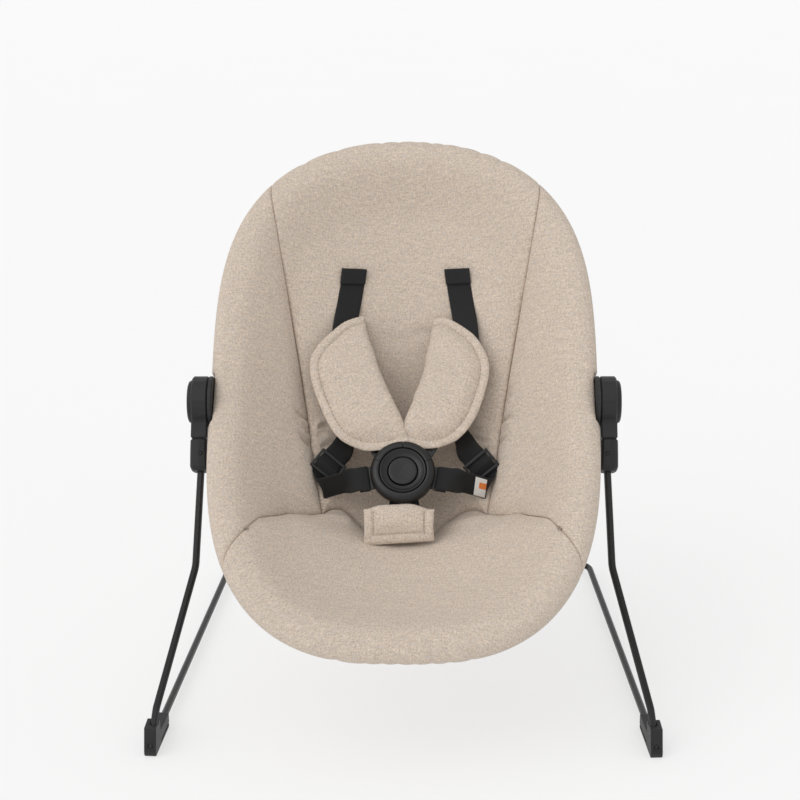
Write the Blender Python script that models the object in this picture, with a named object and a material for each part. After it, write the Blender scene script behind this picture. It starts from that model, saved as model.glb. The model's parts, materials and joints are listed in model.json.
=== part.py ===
"""Baby bouncer seat: a padded egg-shaped seat on a bent steel ring, hung between two sprung wire legs.

The seat reclines on two side hubs. Each hub locks with a toothed gear that bridges two toothed rings.
All sizes are in metres, +Z is up, +X is to the right of someone who faces the seat, and -Y is its front.
"""

import math

import bmesh
import bpy
import numpy as np
from mathutils import Matrix, Vector

# General clearances and details
GAP = 0.0003
ROD_SIDES_RESOLUTION = 3
ROUND_STEPS = 24
SMALL_STEPS = 16
COIL_STEPS = 8

# Seat ring: an upper and a lower steel U, both plugged onto the side hubs
HUB_Y = -0.120
BACK_SLOPE = math.radians(50)
FRONT_SLOPE = math.radians(40)
RING_HALF_WIDTH = 0.1737
BACK_LENGTH = 0.2744
FRONT_LENGTH = 0.2610
TUBE_RADIUS = 0.008
TUBE_WALL = 0.0012
RING_BREAK = 0.0185

# Side hubs, measured outward along X
HUB_RADIUS = 0.0246
PLATE_OUT = 0.0083
PLATE_INNER_X = RING_HALF_WIDTH + PLATE_OUT
PLATE_THICKNESS = 0.0040
NECK_RADIUS = 0.0088
SPIGOT_LENGTH = 0.0300
HOUSING_DEPTH = 0.0157
HOUSING_CAVITY_RADIUS = 0.0200
HOUSING_CAVITY_DEPTH = 0.0093
HOUSING_WEB = 0.0025
LOCK_TEETH = 48
LOCK_ROOT_RADIUS = 0.0162
LOCK_TOOTH_HEIGHT = 0.0014
LOCK_RING_WIDTH = 0.0042
GEAR_WIDTH = 0.0044
GEAR_RELEASE = 0.0002
BUTTON_RADIUS = 0.0206
BUTTON_PROUD = 0.0041
BUTTON_TRAVEL = 0.0023
SCREW_RADIUS = 0.0030
SCREW_HEAD_RADIUS = 0.0065
SCREW_HEAD_HEIGHT = 0.0016

# Legs: both wires lie in one plane that leans forward
LEG_LEAN = math.radians(29)
WIRE_RADIUS = 0.0035
ARM_LENGTH = 0.0377
ARM_HALF_WIDTH = 0.0130
SOCKET_LENGTH = 0.0300
SOCKET_HALF_X = 0.0094
SOCKET_HALF_DEPTH = 0.0115
LEG_OUT = 0.0110
SOCKET_SPREAD = 0.0015
BEND_SPREAD = 0.0025
KINK_SPREAD = 0.0354
END_SPREAD = 0.0395
LEG_TOP_X = PLATE_INNER_X + LEG_OUT
SOCKET_TOP_X = LEG_TOP_X + SOCKET_SPREAD
LEG_BEND_X = LEG_TOP_X + BEND_SPREAD
LEG_KINK_X = LEG_TOP_X + KINK_SPREAD
LEG_END_X = LEG_TOP_X + END_SPREAD
LEG_BEND_DOWN = 0.1580
LEG_KINK_DOWN = 0.2896
LEG_END_DOWN = 0.3234
LEG_END_Z = 0.009648
HUB_Z = LEG_END_Z + LEG_END_DOWN * math.cos(LEG_LEAN)

# Base wire and its feet
RAIL_HEIGHT = 0.0090
REAR_BAR_Y = 0.1680
REAR_SPREAD = 0.0130
REAR_HALF_WIDTH = LEG_TOP_X + REAR_SPREAD
REAR_BEND_RADIUS = 0.0200
FOOT_LENGTH = 0.0620
FOOT_WIDTH = 0.0112
FOOT_ARM_HEIGHT = 0.0290
FOOT_ARM_DEPTH = 0.0160
FOOT_BRACE_END = 0.0300
FOOT_POCKET_REACH = 0.0400
FOOT_TOE_HEIGHT = 0.0150
FOOT_NOSE = 0.0052
PAD_OFFSET = 0.0450
PAD_LENGTH = 0.0260
PAD_WIDTH = 0.0170

# Padded cover
COVER_THICKNESS = 0.0030
COVER_BACKING = 0.0040
SEAM_SINK = 0.0080
SEAM_GAP = 0.0007
RIM_SPARE = 0.0010
CENTRE_CROWN = 0.0085
WING_CROWN = 0.0130
FRONT_CROWN = 0.0150
SEAM_TOP_X = 0.1294
SEAM_TOP_T = 0.1939
SEAM_HIP_X = 0.0800
SEAM_HIP_T = -0.0780
LOW_SEAM = ((0.1120, -0.0940), (0.1340, -0.1200), (0.1435, -0.1405))
WING_TIP_T = -0.1640
WING_TOP_T = 0.2195
RIM_CLEAR = 0.0230
RIM_SETTLE = 0.0400
RIM_PLUMP = 0.5000
RIM_RISE = 0.0050
STEEPEST = 0.5000
HEM_ANGLE = math.radians(200)

# Harness
WEBBING_WIDTH = 0.0240
WEBBING_THICKNESS = 0.0014
SHOULDER_X = 0.0525
SHOULDER_T = 0.1575
CROTCH_T = -0.1110
SLOT_HALF = 0.0030
BUCKLE_AHEAD = 0.0100
BUCKLE_BELOW = 0.0685
BUCKLE_Y = HUB_Y - BUCKLE_AHEAD
BUCKLE_Z = HUB_Z - BUCKLE_BELOW
BUCKLE_TILT = math.radians(39.5)
BUCKLE_RADIUS = 0.0313
BUCKLE_INNER_RADIUS = 0.0228
BUCKLE_BUTTON_RADIUS = 0.0142
BUCKLE_FRONT = 0.0090
BUCKLE_BACK = 0.0100
BUCKLE_TRAVEL = 0.0025
SLEEVE_WIDTH = 0.0670
SLEEVE_THICKNESS = 0.0120
SLEEVE_FOOT = 0.0055
SLEEVE_LIFT = 0.0008
LUG_THICKNESS = 0.0024
LUG_POCKET = 0.0076
TAG_THICKNESS = 0.0004
TAG_SHARE = 0.9
CROTCH_LUG_OUT = -0.0068
WAIST_ANGLE = 189
STRAP_LIE = 0.0024
PAD_LIFT = 0.0005
PAD_FIRST = 8
PAD_THICKNESS = 0.0130
PAD_DRIFT = 0.0030
PAD_WIDTHS = (
    (0.0, 0.016), (0.05, 0.022), (0.16, 0.028), (0.42, 0.0315), (0.7, 0.03), (0.9, 0.024), (1.0, 0.020),
)
PAD_FULLNESS = ((0.0, 0.45), (0.12, 0.85), (0.4, 1.0), (1.0, 1.0))
PAD_TOP_INSET = 0.2
PAD_END = ((0.0440, 0.0006), (0.0350, 0.0008))
ADJUSTER_LENGTH = 0.0210
ADJUSTER_BAR = 0.0030
ADJUSTER_THICKNESS = 0.0024
SHOULDER_DRAPE = (
    (0.0605, 0.0900, 0.0495),
    (0.0615, 0.0730, 0.0315),
    (0.0590, 0.0540, 0.0105),
    (0.0490, 0.0365, -0.0095),
    (0.0360, 0.0235, -0.0245),
)
WAIST_MIDDLE = (0.0560, -0.0100, -0.0775)
WAIST_FOLD = (0.0820, 0.0020, -0.0895)
SLIDE_PLACE = (0.0745, 0.0125, -0.0690)
RAIL_INSET = 0.016


# Materials: name, colour, roughness, metallic
BLACK_STEEL = ("black_painted_steel", (0.012, 0.012, 0.013), 0.35, 0.0)
ZINC_STEEL = ("zinc_plated_steel", (0.55, 0.56, 0.58), 0.32, 1.0)
BLACK_PLASTIC = ("black_plastic", (0.016, 0.016, 0.017), 0.45, 0.0)
GREY_NYLON = ("grey_nylon", (0.18, 0.18, 0.19), 0.5, 0.0)
RUBBER = ("black_rubber", (0.02, 0.02, 0.02), 0.8, 0.0)
LINEN = ("beige_linen", (0.42, 0.34, 0.26), 0.95, 0.0)
WEBBING = ("black_webbing", (0.018, 0.018, 0.02), 0.85, 0.0)
LABEL = ("white_label", (0.85, 0.85, 0.84), 0.8, 0.0)


def clear_scene():
    for obj in list(bpy.data.objects):
        bpy.data.objects.remove(obj)


def material(spec):
    name, colour, roughness, metallic = spec
    found = bpy.data.materials.get(name)
    if found:
        return found
    made = bpy.data.materials.new(name)
    made.use_nodes = True
    shader = made.node_tree.nodes["Principled BSDF"]
    shader.inputs["Base Color"].default_value = (*colour, 1.0)
    shader.inputs["Roughness"].default_value = roughness
    shader.inputs["Metallic"].default_value = metallic
    return made


def make_body(name, place):
    """An empty on a joint's axis, which carries the pieces that move with it."""
    empty = bpy.data.objects.new(name, None)
    bpy.context.scene.collection.objects.link(empty)
    empty.location = place
    return empty


def ride(obj, body):
    """Parents a piece that is modelled in place to its body's empty."""
    bpy.context.view_layer.update()
    obj.parent = body
    obj.matrix_parent_inverse = body.matrix_world.inverted()


def add_mesh(name, bm, spec, body, crease=40):
    bmesh.ops.recalc_face_normals(bm, faces=bm.faces)
    mesh = bpy.data.meshes.new(name)
    bm.to_mesh(mesh)
    bm.free()
    mesh.shade_smooth()
    mesh.set_sharp_from_angle(angle=math.radians(crease))
    mesh.materials.append(material(spec))
    obj = bpy.data.objects.new(name, mesh)
    bpy.context.scene.collection.objects.link(obj)
    ride(obj, body)
    return obj


def apply_boolean(obj, other, operation):
    """Adds a Boolean modifier, and keeps the other mesh as a hidden helper."""
    modifier = obj.modifiers.new(operation.lower(), "BOOLEAN")
    modifier.operation = operation
    modifier.solver = "EXACT"
    modifier.object = other
    other.hide_render = True
    other.display_type = "WIRE"


def cut(obj, other):
    apply_boolean(obj, other, "DIFFERENCE")


def join(obj, other):
    apply_boolean(obj, other, "UNION")


def bevel(obj, width, segments=2, angle=35):
    modifier = obj.modifiers.new("bevel", "BEVEL")
    modifier.width = width
    modifier.segments = segments
    modifier.limit_method = "ANGLE"
    modifier.angle_limit = math.radians(angle)


def prism(outline, low, high):
    """Extrudes a closed outline of (u, v) points from w = low to w = high, as (u, v, w)."""
    bm = bmesh.new()
    ring = [bm.verts.new((u, v, low)) for u, v in outline]
    face = bm.faces.new(ring)
    swept = bmesh.ops.extrude_face_region(bm, geom=[face])
    moved = [item for item in swept["geom"] if isinstance(item, bmesh.types.BMVert)]
    bmesh.ops.translate(bm, verts=moved, vec=(0.0, 0.0, high - low))
    return bm


def turned(profile, steps):
    """Spins a closed profile of (radius, height) points round the local Z axis."""
    bm = bmesh.new()
    points = [bm.verts.new((radius, 0.0, height)) for radius, height in profile]
    edges = [bm.edges.new((a, b)) for a, b in zip(points, points[1:] + points[:1])]
    bmesh.ops.spin(
        bm,
        geom=points + edges,
        cent=(0.0, 0.0, 0.0),
        axis=(0.0, 0.0, 1.0),
        angle=math.tau,
        steps=steps,
        use_merge=True,
    )
    bmesh.ops.remove_doubles(bm, verts=bm.verts, dist=1e-6)
    bmesh.ops.dissolve_degenerate(bm, edges=bm.edges, dist=1e-7)
    return bm


def placed(bm, matrix):
    bmesh.ops.transform(bm, matrix=matrix, verts=bm.verts)
    return bm


def circle(radius, count, phase=0.0):
    angles = [phase + math.tau * i / count for i in range(count)]
    return [(radius * math.cos(a), radius * math.sin(a)) for a in angles]


def wire(name, points, radius, spec, body, resolution=ROD_SIDES_RESOLUTION):
    """A round bar along a smooth list of points."""
    data = bpy.data.curves.new(name, "CURVE")
    data.dimensions = "3D"
    data.bevel_depth = radius
    data.bevel_resolution = resolution
    data.use_fill_caps = True
    spline = data.splines.new("POLY")
    spline.points.add(len(points) - 1)
    for target, point in zip(spline.points, points):
        target.co = (*point, 1.0)
    data.materials.append(material(spec))
    obj = bpy.data.objects.new(name, data)
    bpy.context.scene.collection.objects.link(obj)
    ride(obj, body)
    return obj


def meshed(curve):
    """Turns a bar's curve into a mesh, so that it can be drilled."""
    graph = bpy.context.evaluated_depsgraph_get()
    name = curve.name
    body = curve.parent
    mesh = bpy.data.meshes.new_from_object(curve.evaluated_get(graph))
    bpy.data.objects.remove(curve)
    bm = bmesh.new()
    bm.from_mesh(mesh)
    bmesh.ops.remove_doubles(bm, verts=bm.verts, dist=1e-6)
    spec = next(s for s in (BLACK_STEEL, ZINC_STEEL) if s[0] == mesh.materials[0].name)
    return add_mesh(name, bm, spec, body)


def rounded_path(corners, radii, steps=6):
    """Straight runs through the corners, each inner corner rounded by an arc."""
    corners = [Vector(c) for c in corners]
    points = [corners[0]]
    for before, corner, after, radius in zip(corners, corners[1:], corners[2:], radii):
        back = (before - corner).normalized()
        on = (after - corner).normalized()
        half = back.angle(on) / 2
        reach = radius / math.tan(half)
        centre = corner + (back + on).normalized() * (radius / math.sin(half))
        start = corner + back * reach - centre
        turn = start.rotation_difference(corner + on * reach - centre)
        for step in range(steps + 1):
            part = turn.copy()
            part.angle = turn.angle * step / steps
            points.append(centre + part @ start)
    points.append(corners[-1])
    return points


def grid_solid(top, bottom):
    """A closed solid between two grids of points that share their rows and columns."""
    bm = bmesh.new()
    upper = [[bm.verts.new(p) for p in row] for row in top]
    lower = [[bm.verts.new(p) for p in row] for row in bottom]
    rows = len(top)
    columns = len(top[0])
    for i in range(rows - 1):
        for j in range(columns - 1):
            bm.faces.new((upper[i][j], upper[i][j + 1], upper[i + 1][j + 1], upper[i + 1][j]))
            bm.faces.new((lower[i][j], lower[i + 1][j], lower[i + 1][j + 1], lower[i][j + 1]))
    for i in range(rows - 1):
        bm.faces.new((upper[i][0], upper[i + 1][0], lower[i + 1][0], lower[i][0]))
        bm.faces.new((upper[i + 1][-1], upper[i][-1], lower[i][-1], lower[i + 1][-1]))
    for j in range(columns - 1):
        bm.faces.new((upper[0][j + 1], upper[0][j], lower[0][j], lower[0][j + 1]))
        bm.faces.new((upper[-1][j], upper[-1][j + 1], lower[-1][j + 1], lower[-1][j]))
    return bm


def ribbon(stations, thickness):
    """A flat strap: each station holds its centre, half of its width as a vector, and its face normal."""
    top = []
    bottom = []
    for centre, half, normal in stations:
        centre = Vector(centre)
        half = Vector(half)
        lift = Vector(normal).normalized() * (thickness / 2)
        top.append([centre - half + lift, centre + half + lift])
        bottom.append([centre - half - lift, centre + half - lift])
    return grid_solid(top, bottom)


def ease(value):
    value = min(max(value, 0.0), 1.0)
    return value * value * (3 - 2 * value)


def smooth_curve(knots, value):
    """A cubic through the knots, as (place, height) pairs, that doesn't overshoot them."""
    xs = [k[0] for k in knots]
    ys = [k[1] for k in knots]
    slopes = [(b - a) / (d - c) for a, b, c, d in zip(ys, ys[1:], xs, xs[1:])]
    tangents = [slopes[0]]
    for a, b in zip(slopes, slopes[1:]):
        tangents.append(0.0 if a * b <= 0 else 2 * a * b / (a + b))
    tangents.append(slopes[-1])
    if value <= xs[0]:
        return ys[0]
    if value >= xs[-1]:
        return ys[-1]
    k = max(i for i in range(len(xs) - 1) if xs[i] <= value)
    width = xs[k + 1] - xs[k]
    u = (value - xs[k]) / width
    h00 = 2 * u**3 - 3 * u**2 + 1
    h10 = u**3 - 2 * u**2 + u
    h01 = -2 * u**3 + 3 * u**2
    h11 = u**3 - u**2
    return h00 * ys[k] + h10 * width * tangents[k] + h01 * ys[k + 1] + h11 * width * tangents[k + 1]


# The seat ring and the padded surface that hangs in it. A place on the ring's face is (x, t):
# t runs along the side view of the ring, 0 at the hubs, positive up the back, negative to the front.


def ring_slope(t):
    return FRONT_SLOPE + (BACK_SLOPE - FRONT_SLOPE) * ease((t + 0.05) / 0.10)


def ring_place(x, t):
    slope = BACK_SLOPE if t > 0 else FRONT_SLOPE
    return Vector((x, HUB_Y + t * math.cos(slope), HUB_Z + t * math.sin(slope)))


def ring_normal(t):
    slope = ring_slope(t)
    return Vector((0.0, -math.sin(slope), math.cos(slope)))


def ring_width(t):
    """Half the width between the tube's centre lines at t: a squarer back and a rounder front."""
    if t > 0:
        reach = min(t / BACK_LENGTH, 1.0)
        return RING_HALF_WIDTH * (1 - reach**3.8) ** (1 / 2.15)
    reach = min(-t / FRONT_LENGTH, 1.0)
    return RING_HALF_WIDTH * (1 - reach**3.0) ** (1 / 2.8)


def ring_outline(upper, count=400):
    """Dense (x, t) points of one U, from its left end to its right end."""
    length = BACK_LENGTH if upper else -FRONT_LENGTH
    along, across = (3.8, 2.15) if upper else (3.0, 2.8)
    points = []
    for i in range(count + 1):
        angle = math.pi * i / count
        t = length * math.sin(angle) ** (2 / along)
        x = -RING_HALF_WIDTH * math.copysign(abs(math.cos(angle)) ** (2 / across), math.cos(angle))
        points.append((x, t))
    return points


def resample(points, count):
    """Points at equal steps along a polyline."""
    points = np.array(points, dtype=float)
    steps = np.linalg.norm(np.diff(points, axis=0), axis=1)
    run = np.concatenate([[0.0], np.cumsum(steps)])
    wanted = np.linspace(0.0, run[-1], count)
    return [tuple(np.interp(w, run, points[:, k]) for k in range(points.shape[1])) for w in wanted]


def rim_between(start_t, end_t, side, count):
    """(x, t) points along one side of the ring, from start_t to end_t at equal steps."""
    dense = []
    for upper in (True, False):
        half = [p for p in ring_outline(upper) if p[0] * side >= 0]
        half.sort(key=lambda p: -p[1] if upper else p[1])
        if not upper:
            half.reverse()
        dense += half
    low, high = min(start_t, end_t), max(start_t, end_t)
    inside = [p for p in dense if low < p[1] < high]
    ends = [(side * ring_width(high), high), (side * ring_width(low), low)]
    line = [ends[0]] + inside + [ends[1]]
    if start_t < end_t:
        line.reverse()
    return resample(line, count)


DEPTH_KNOTS = (
    (-FRONT_LENGTH, 0.0),
    (-0.225, 0.020),
    (-0.180, 0.044),
    (-0.130, 0.070),
    (-0.074, 0.104),
    (-0.035, 0.096),
    (0.035, 0.075),
    (0.110, 0.053),
    (0.190, 0.030),
    (0.245, 0.013),
    (BACK_LENGTH, 0.0),
)


def seat_place(x, t):
    """The padded surface: the ring's face, sunk most along the middle."""
    width = max(ring_width(t), 1e-4)
    share = min(abs(x) / width, 1.0)
    fall = 1 - share * share
    depth = smooth_curve(DEPTH_KNOTS, t) * (fall + fall * fall) / 2
    return ring_place(x, t) - ring_normal(t) * depth


def seat_normal(x, t):
    step = 0.002
    across = seat_place(x + step, t) - seat_place(x - step, t)
    along = seat_place(x, t + step) - seat_place(x, t - step)
    return across.cross(along).normalized()


def ring_frame(x, t):
    """The tube's centre, and the outward and upward directions square to it, at a rim point."""
    if abs(t) < 0.05:
        outward = Vector((math.copysign(1.0, x), 0.0, 0.0))
    else:
        length, along, across = (BACK_LENGTH, 3.8, 2.15) if t > 0 else (FRONT_LENGTH, 3.0, 2.8)
        pull_x = across * (abs(x) / RING_HALF_WIDTH) ** (across - 1) / RING_HALF_WIDTH
        pull_t = along * (abs(t) / length) ** (along - 1) / length
        slope = BACK_SLOPE if t > 0 else FRONT_SLOPE
        up_ring = Vector((0.0, math.cos(slope), math.sin(slope)))
        outward = Vector((math.copysign(pull_x, x), 0.0, 0.0)) + up_ring * math.copysign(pull_t, t)
        outward.normalize()
    return ring_place(x, t), outward, ring_normal(t)


def panel(name, columns, crown, body, rim_rows=5):
    """A padded panel. Each column is a list of (x, t) places from its seam to its rim place.

    The last place of a column lies on the ring. The cover leaves the sling there as a tangent,
    and wraps round the tube to a hem underneath.
    """
    tops = []
    bottoms = []
    count = len(columns)
    rim_line = np.array(ring_outline(True, 120) + ring_outline(False, 120))
    for index, column in enumerate(columns):
        across = 2 * index / (count - 1) - 1
        edge = 1 - abs(across) ** 3
        inner = column[:-1]
        top = []
        bottom = []
        for row, (x, t) in enumerate(inner):
            down = row / (len(inner) - 1)
            fill = edge * (1 - (1 - down) ** 4)
            place = seat_place(x, t)
            normal = seat_normal(x, t)
            away = np.min(np.hypot(rim_line[:, 0] - x, rim_line[:, 1] - t))
            settle = 1 - ease((away - RIM_CLEAR) / RIM_SETTLE)
            plump = crown * fill * (1 + (RIM_PLUMP - 1) * settle)
            plump = min(plump, STEEPEST * math.dist(inner[0], (x, t)))
            height = plump - SEAM_SINK * (1 - settle) + (COVER_THICKNESS / 2 + RIM_RISE) * settle
            under = -SEAM_SINK - COVER_BACKING
            under = under * (1 - settle) - COVER_THICKNESS / 2 * settle
            top.append(place + normal * height)
            bottom.append(place + normal * under)
        centre, outward, upward = ring_frame(*column[-1])
        inner_radius = TUBE_RADIUS + RIM_SPARE
        middle = inner_radius + COVER_THICKNESS / 2
        last = (top[-1] + bottom[-1]) / 2 - centre
        away = last.dot(outward)
        rise = last.dot(upward)
        reach = max(math.hypot(away, rise), middle * 1.02)
        start = math.atan2(away, rise) + math.acos(middle / reach)
        flat = math.cos((HEM_ANGLE - start) / (rim_rows - 1) / 2)
        for step in range(rim_rows):
            angle = start + (HEM_ANGLE - start) * step / (rim_rows - 1)
            radial = outward * math.sin(angle) + upward * math.cos(angle)
            plump = RIM_PLUMP * crown * edge * (1 - ease(step / 2))
            top.append(centre + radial * (inner_radius / flat + COVER_THICKNESS + plump))
            bottom.append(centre + radial * (inner_radius / flat))
        tops.append(top)
        bottoms.append(bottom)
    for grid in (tops, bottoms):
        for here, inward in ((0, 1), (-1, -2)):
            for row, point in enumerate(grid[here]):
                grid[here][row] = point + (grid[inward][row] - point).normalized() * SEAM_GAP
    for grid in (tops, bottoms):
        for column in grid:
            column[0] = column[0] + (column[1] - column[0]).normalized() * SEAM_GAP
    return add_mesh(name, grid_solid(tops, bottoms), LINEN, body, crease=60)


def between(start, end, share):
    return tuple(a + (b - a) * share for a, b in zip(start, end))


def blend_column(start, end, rows):
    """(x, t) places from a seam place to just inside the ring, with the rim place itself last."""
    reach = max(1 - RIM_CLEAR / math.dist(start, end), 0.05)
    return [between(start, end, reach * row / (rows - 1)) for row in range(rows)] + [end]


def seam_up(count):
    """The seam between centre panel and right wing, from the hip to the top of the ring."""
    return resample([(SEAM_HIP_X, SEAM_HIP_T), (SEAM_TOP_X, SEAM_TOP_T)], count)


def make_cover(body):
    rim_count = 13
    seam = seam_up(12)
    corner_x = ring_width(WING_TOP_T)
    dense = [p for p in ring_outline(True) if p[1] > WING_TOP_T]
    dense = [(-corner_x, WING_TOP_T)] + dense + [(corner_x, WING_TOP_T)]
    hips = np.linspace(-1, 1, rim_count)
    columns = []
    for across, rim in zip(hips, resample(dense, rim_count)):
        start = (SEAM_HIP_X * across, SEAM_HIP_T)
        rise = (BACK_LENGTH - RIM_CLEAR - SEAM_TOP_T) * (1 - across**2) * 0.9
        corner = (SEAM_TOP_X * across, SEAM_TOP_T + rise)
        near = between(rim, (0.0, rim[1] - 0.12), RIM_CLEAR / math.dist(rim, (0.0, rim[1] - 0.12)))
        end = between(corner, near, 1 - across**4)
        columns.append([between(start, end, row / 11) for row in range(12)] + [rim])
    centre = panel("centre_panel", columns, CENTRE_CROWN, body)

    low_seam = resample([(SEAM_HIP_X, SEAM_HIP_T), *LOW_SEAM], 7)
    border = list(reversed(seam)) + low_seam[1:]
    for side, name in ((-1, "left_wing"), (1, "right_wing")):
        rim = rim_between(WING_TOP_T, WING_TIP_T, side, len(border))
        columns = [blend_column((side * x, t), place, 6) for (x, t), place in zip(border, rim)]
        wing = panel(name, columns, WING_CROWN, body)
        # Opening round the hub's neck and disc
        opening = turned(
            [
                (0.0, RING_HALF_WIDTH - 0.002),
                (NECK_RADIUS + 0.0010, RING_HALF_WIDTH - 0.002),
                (NECK_RADIUS + 0.0010, PLATE_INNER_X - 0.0006),
                (HUB_RADIUS + 0.0012, PLATE_INNER_X - 0.0006),
                (HUB_RADIUS + 0.0012, PLATE_INNER_X + PLATE_THICKNESS - 0.0004),
                (ARM_LENGTH + 0.006, PLATE_INNER_X + PLATE_THICKNESS - 0.0004),
                (ARM_LENGTH + 0.006, PLATE_INNER_X + 0.02),
                (0.0, PLATE_INNER_X + 0.02),
            ],
            32,
        )
        cut(wing, add_mesh(f"{name}_opening", placed(opening, outward_axis(side)), LINEN, body))

    corner_x = ring_width(WING_TIP_T)
    dense = [p for p in ring_outline(False) if p[1] < WING_TIP_T]
    dense = [(-corner_x, WING_TIP_T)] + dense + [(corner_x, WING_TIP_T)]
    crease = [(-SEAM_HIP_X * share, SEAM_HIP_T) for share in hips]
    back_edge = list(reversed(low_seam)) + crease[1:-1] + [(-x, t) for x, t in low_seam]
    rim = list(reversed(resample(dense, len(back_edge))))
    columns = [blend_column(start, place, 6) for start, place in zip(back_edge, rim)]
    front = panel("front_pad", columns, FRONT_CROWN, body)

    # Slots for the shoulder and crotch straps
    for side in (-1, 1):
        cut(centre, slot_cutter(side * SHOULDER_X, SHOULDER_T, f"shoulder_slot_{side}", body))
    cut(front, slot_cutter(0.0, CROTCH_T, "crotch_slot", body))


def slot_cutter(x, t, name, body):
    """A stadium-shaped hole for a strap, square to the seat's surface."""
    half = WEBBING_WIDTH / 2 - 0.001
    outline = []
    for i in range(12):
        angle = math.tau * (i + 0.5) / 12
        end = math.copysign(half, math.cos(angle))
        outline.append((end + SLOT_HALF * math.cos(angle), SLOT_HALF * math.sin(angle)))
    return add_mesh(name, placed(prism(outline, -0.03, 0.03), seat_matrix(x, t)), LINEN, body)


def seat_matrix(x, t, height=0.0):
    """A frame on the seat's surface: X across, Y up the seat, Z out of it."""
    normal = seat_normal(x, t)
    across = Vector((1.0, 0.0, 0.0))
    across = (across - normal * across.dot(normal)).normalized()
    along = normal.cross(across)
    turn = Matrix((across, along, normal)).transposed().to_4x4()
    return Matrix.Translation(seat_place(x, t) + normal * height) @ turn


def make_frame_tubes(body):
    for name, upper in (("upper_frame_tube", True), ("lower_frame_tube", False)):
        sign = 1 if upper else -1
        dense = [p for p in ring_outline(upper) if sign * p[1] > RING_BREAK]
        ends = [(-ring_width(sign * RING_BREAK), sign * RING_BREAK)]
        ends.append((-ends[0][0], ends[0][1]))
        route = resample([ends[0]] + dense + [ends[1]], 25)
        tube = meshed(wire(name, [ring_place(x, t) for x, t in route], TUBE_RADIUS, BLACK_STEEL, body, 2))
        for side in (-1, 1):
            start = ring_place(side * RING_HALF_WIDTH, 0.0)
            slope = BACK_SLOPE if upper else FRONT_SLOPE
            along = Vector((0.0, math.cos(slope), math.sin(slope))) * sign
            bore = prism(circle(TUBE_RADIUS - TUBE_WALL, 12), RING_BREAK - 0.01, RING_BREAK + SPIGOT_LENGTH)
            turn = along.to_track_quat("Z", "Y").to_matrix().to_4x4()
            placed(bore, Matrix.Translation(start) @ turn)
            cut(tube, add_mesh(f"{name}_bore_{side}", bore, BLACK_STEEL, body))


def outward_axis(side):
    """Turns a piece built round local Z so that its +Z points outward along X, on the hub's axis."""
    turn = Matrix.Rotation(side * math.pi / 2, 4, "Y")
    return Matrix.Translation((0.0, HUB_Y, HUB_Z)) @ turn


def tooth_outline(root, tip, count):
    """A ring of sharp lock teeth: the points step between two radii."""
    points = []
    for i in range(count):
        for half, radius in ((0.0, root), (0.5, tip)):
            angle = math.tau * (i + half) / count
            points.append((radius * math.cos(angle), radius * math.sin(angle)))
    return points


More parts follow.
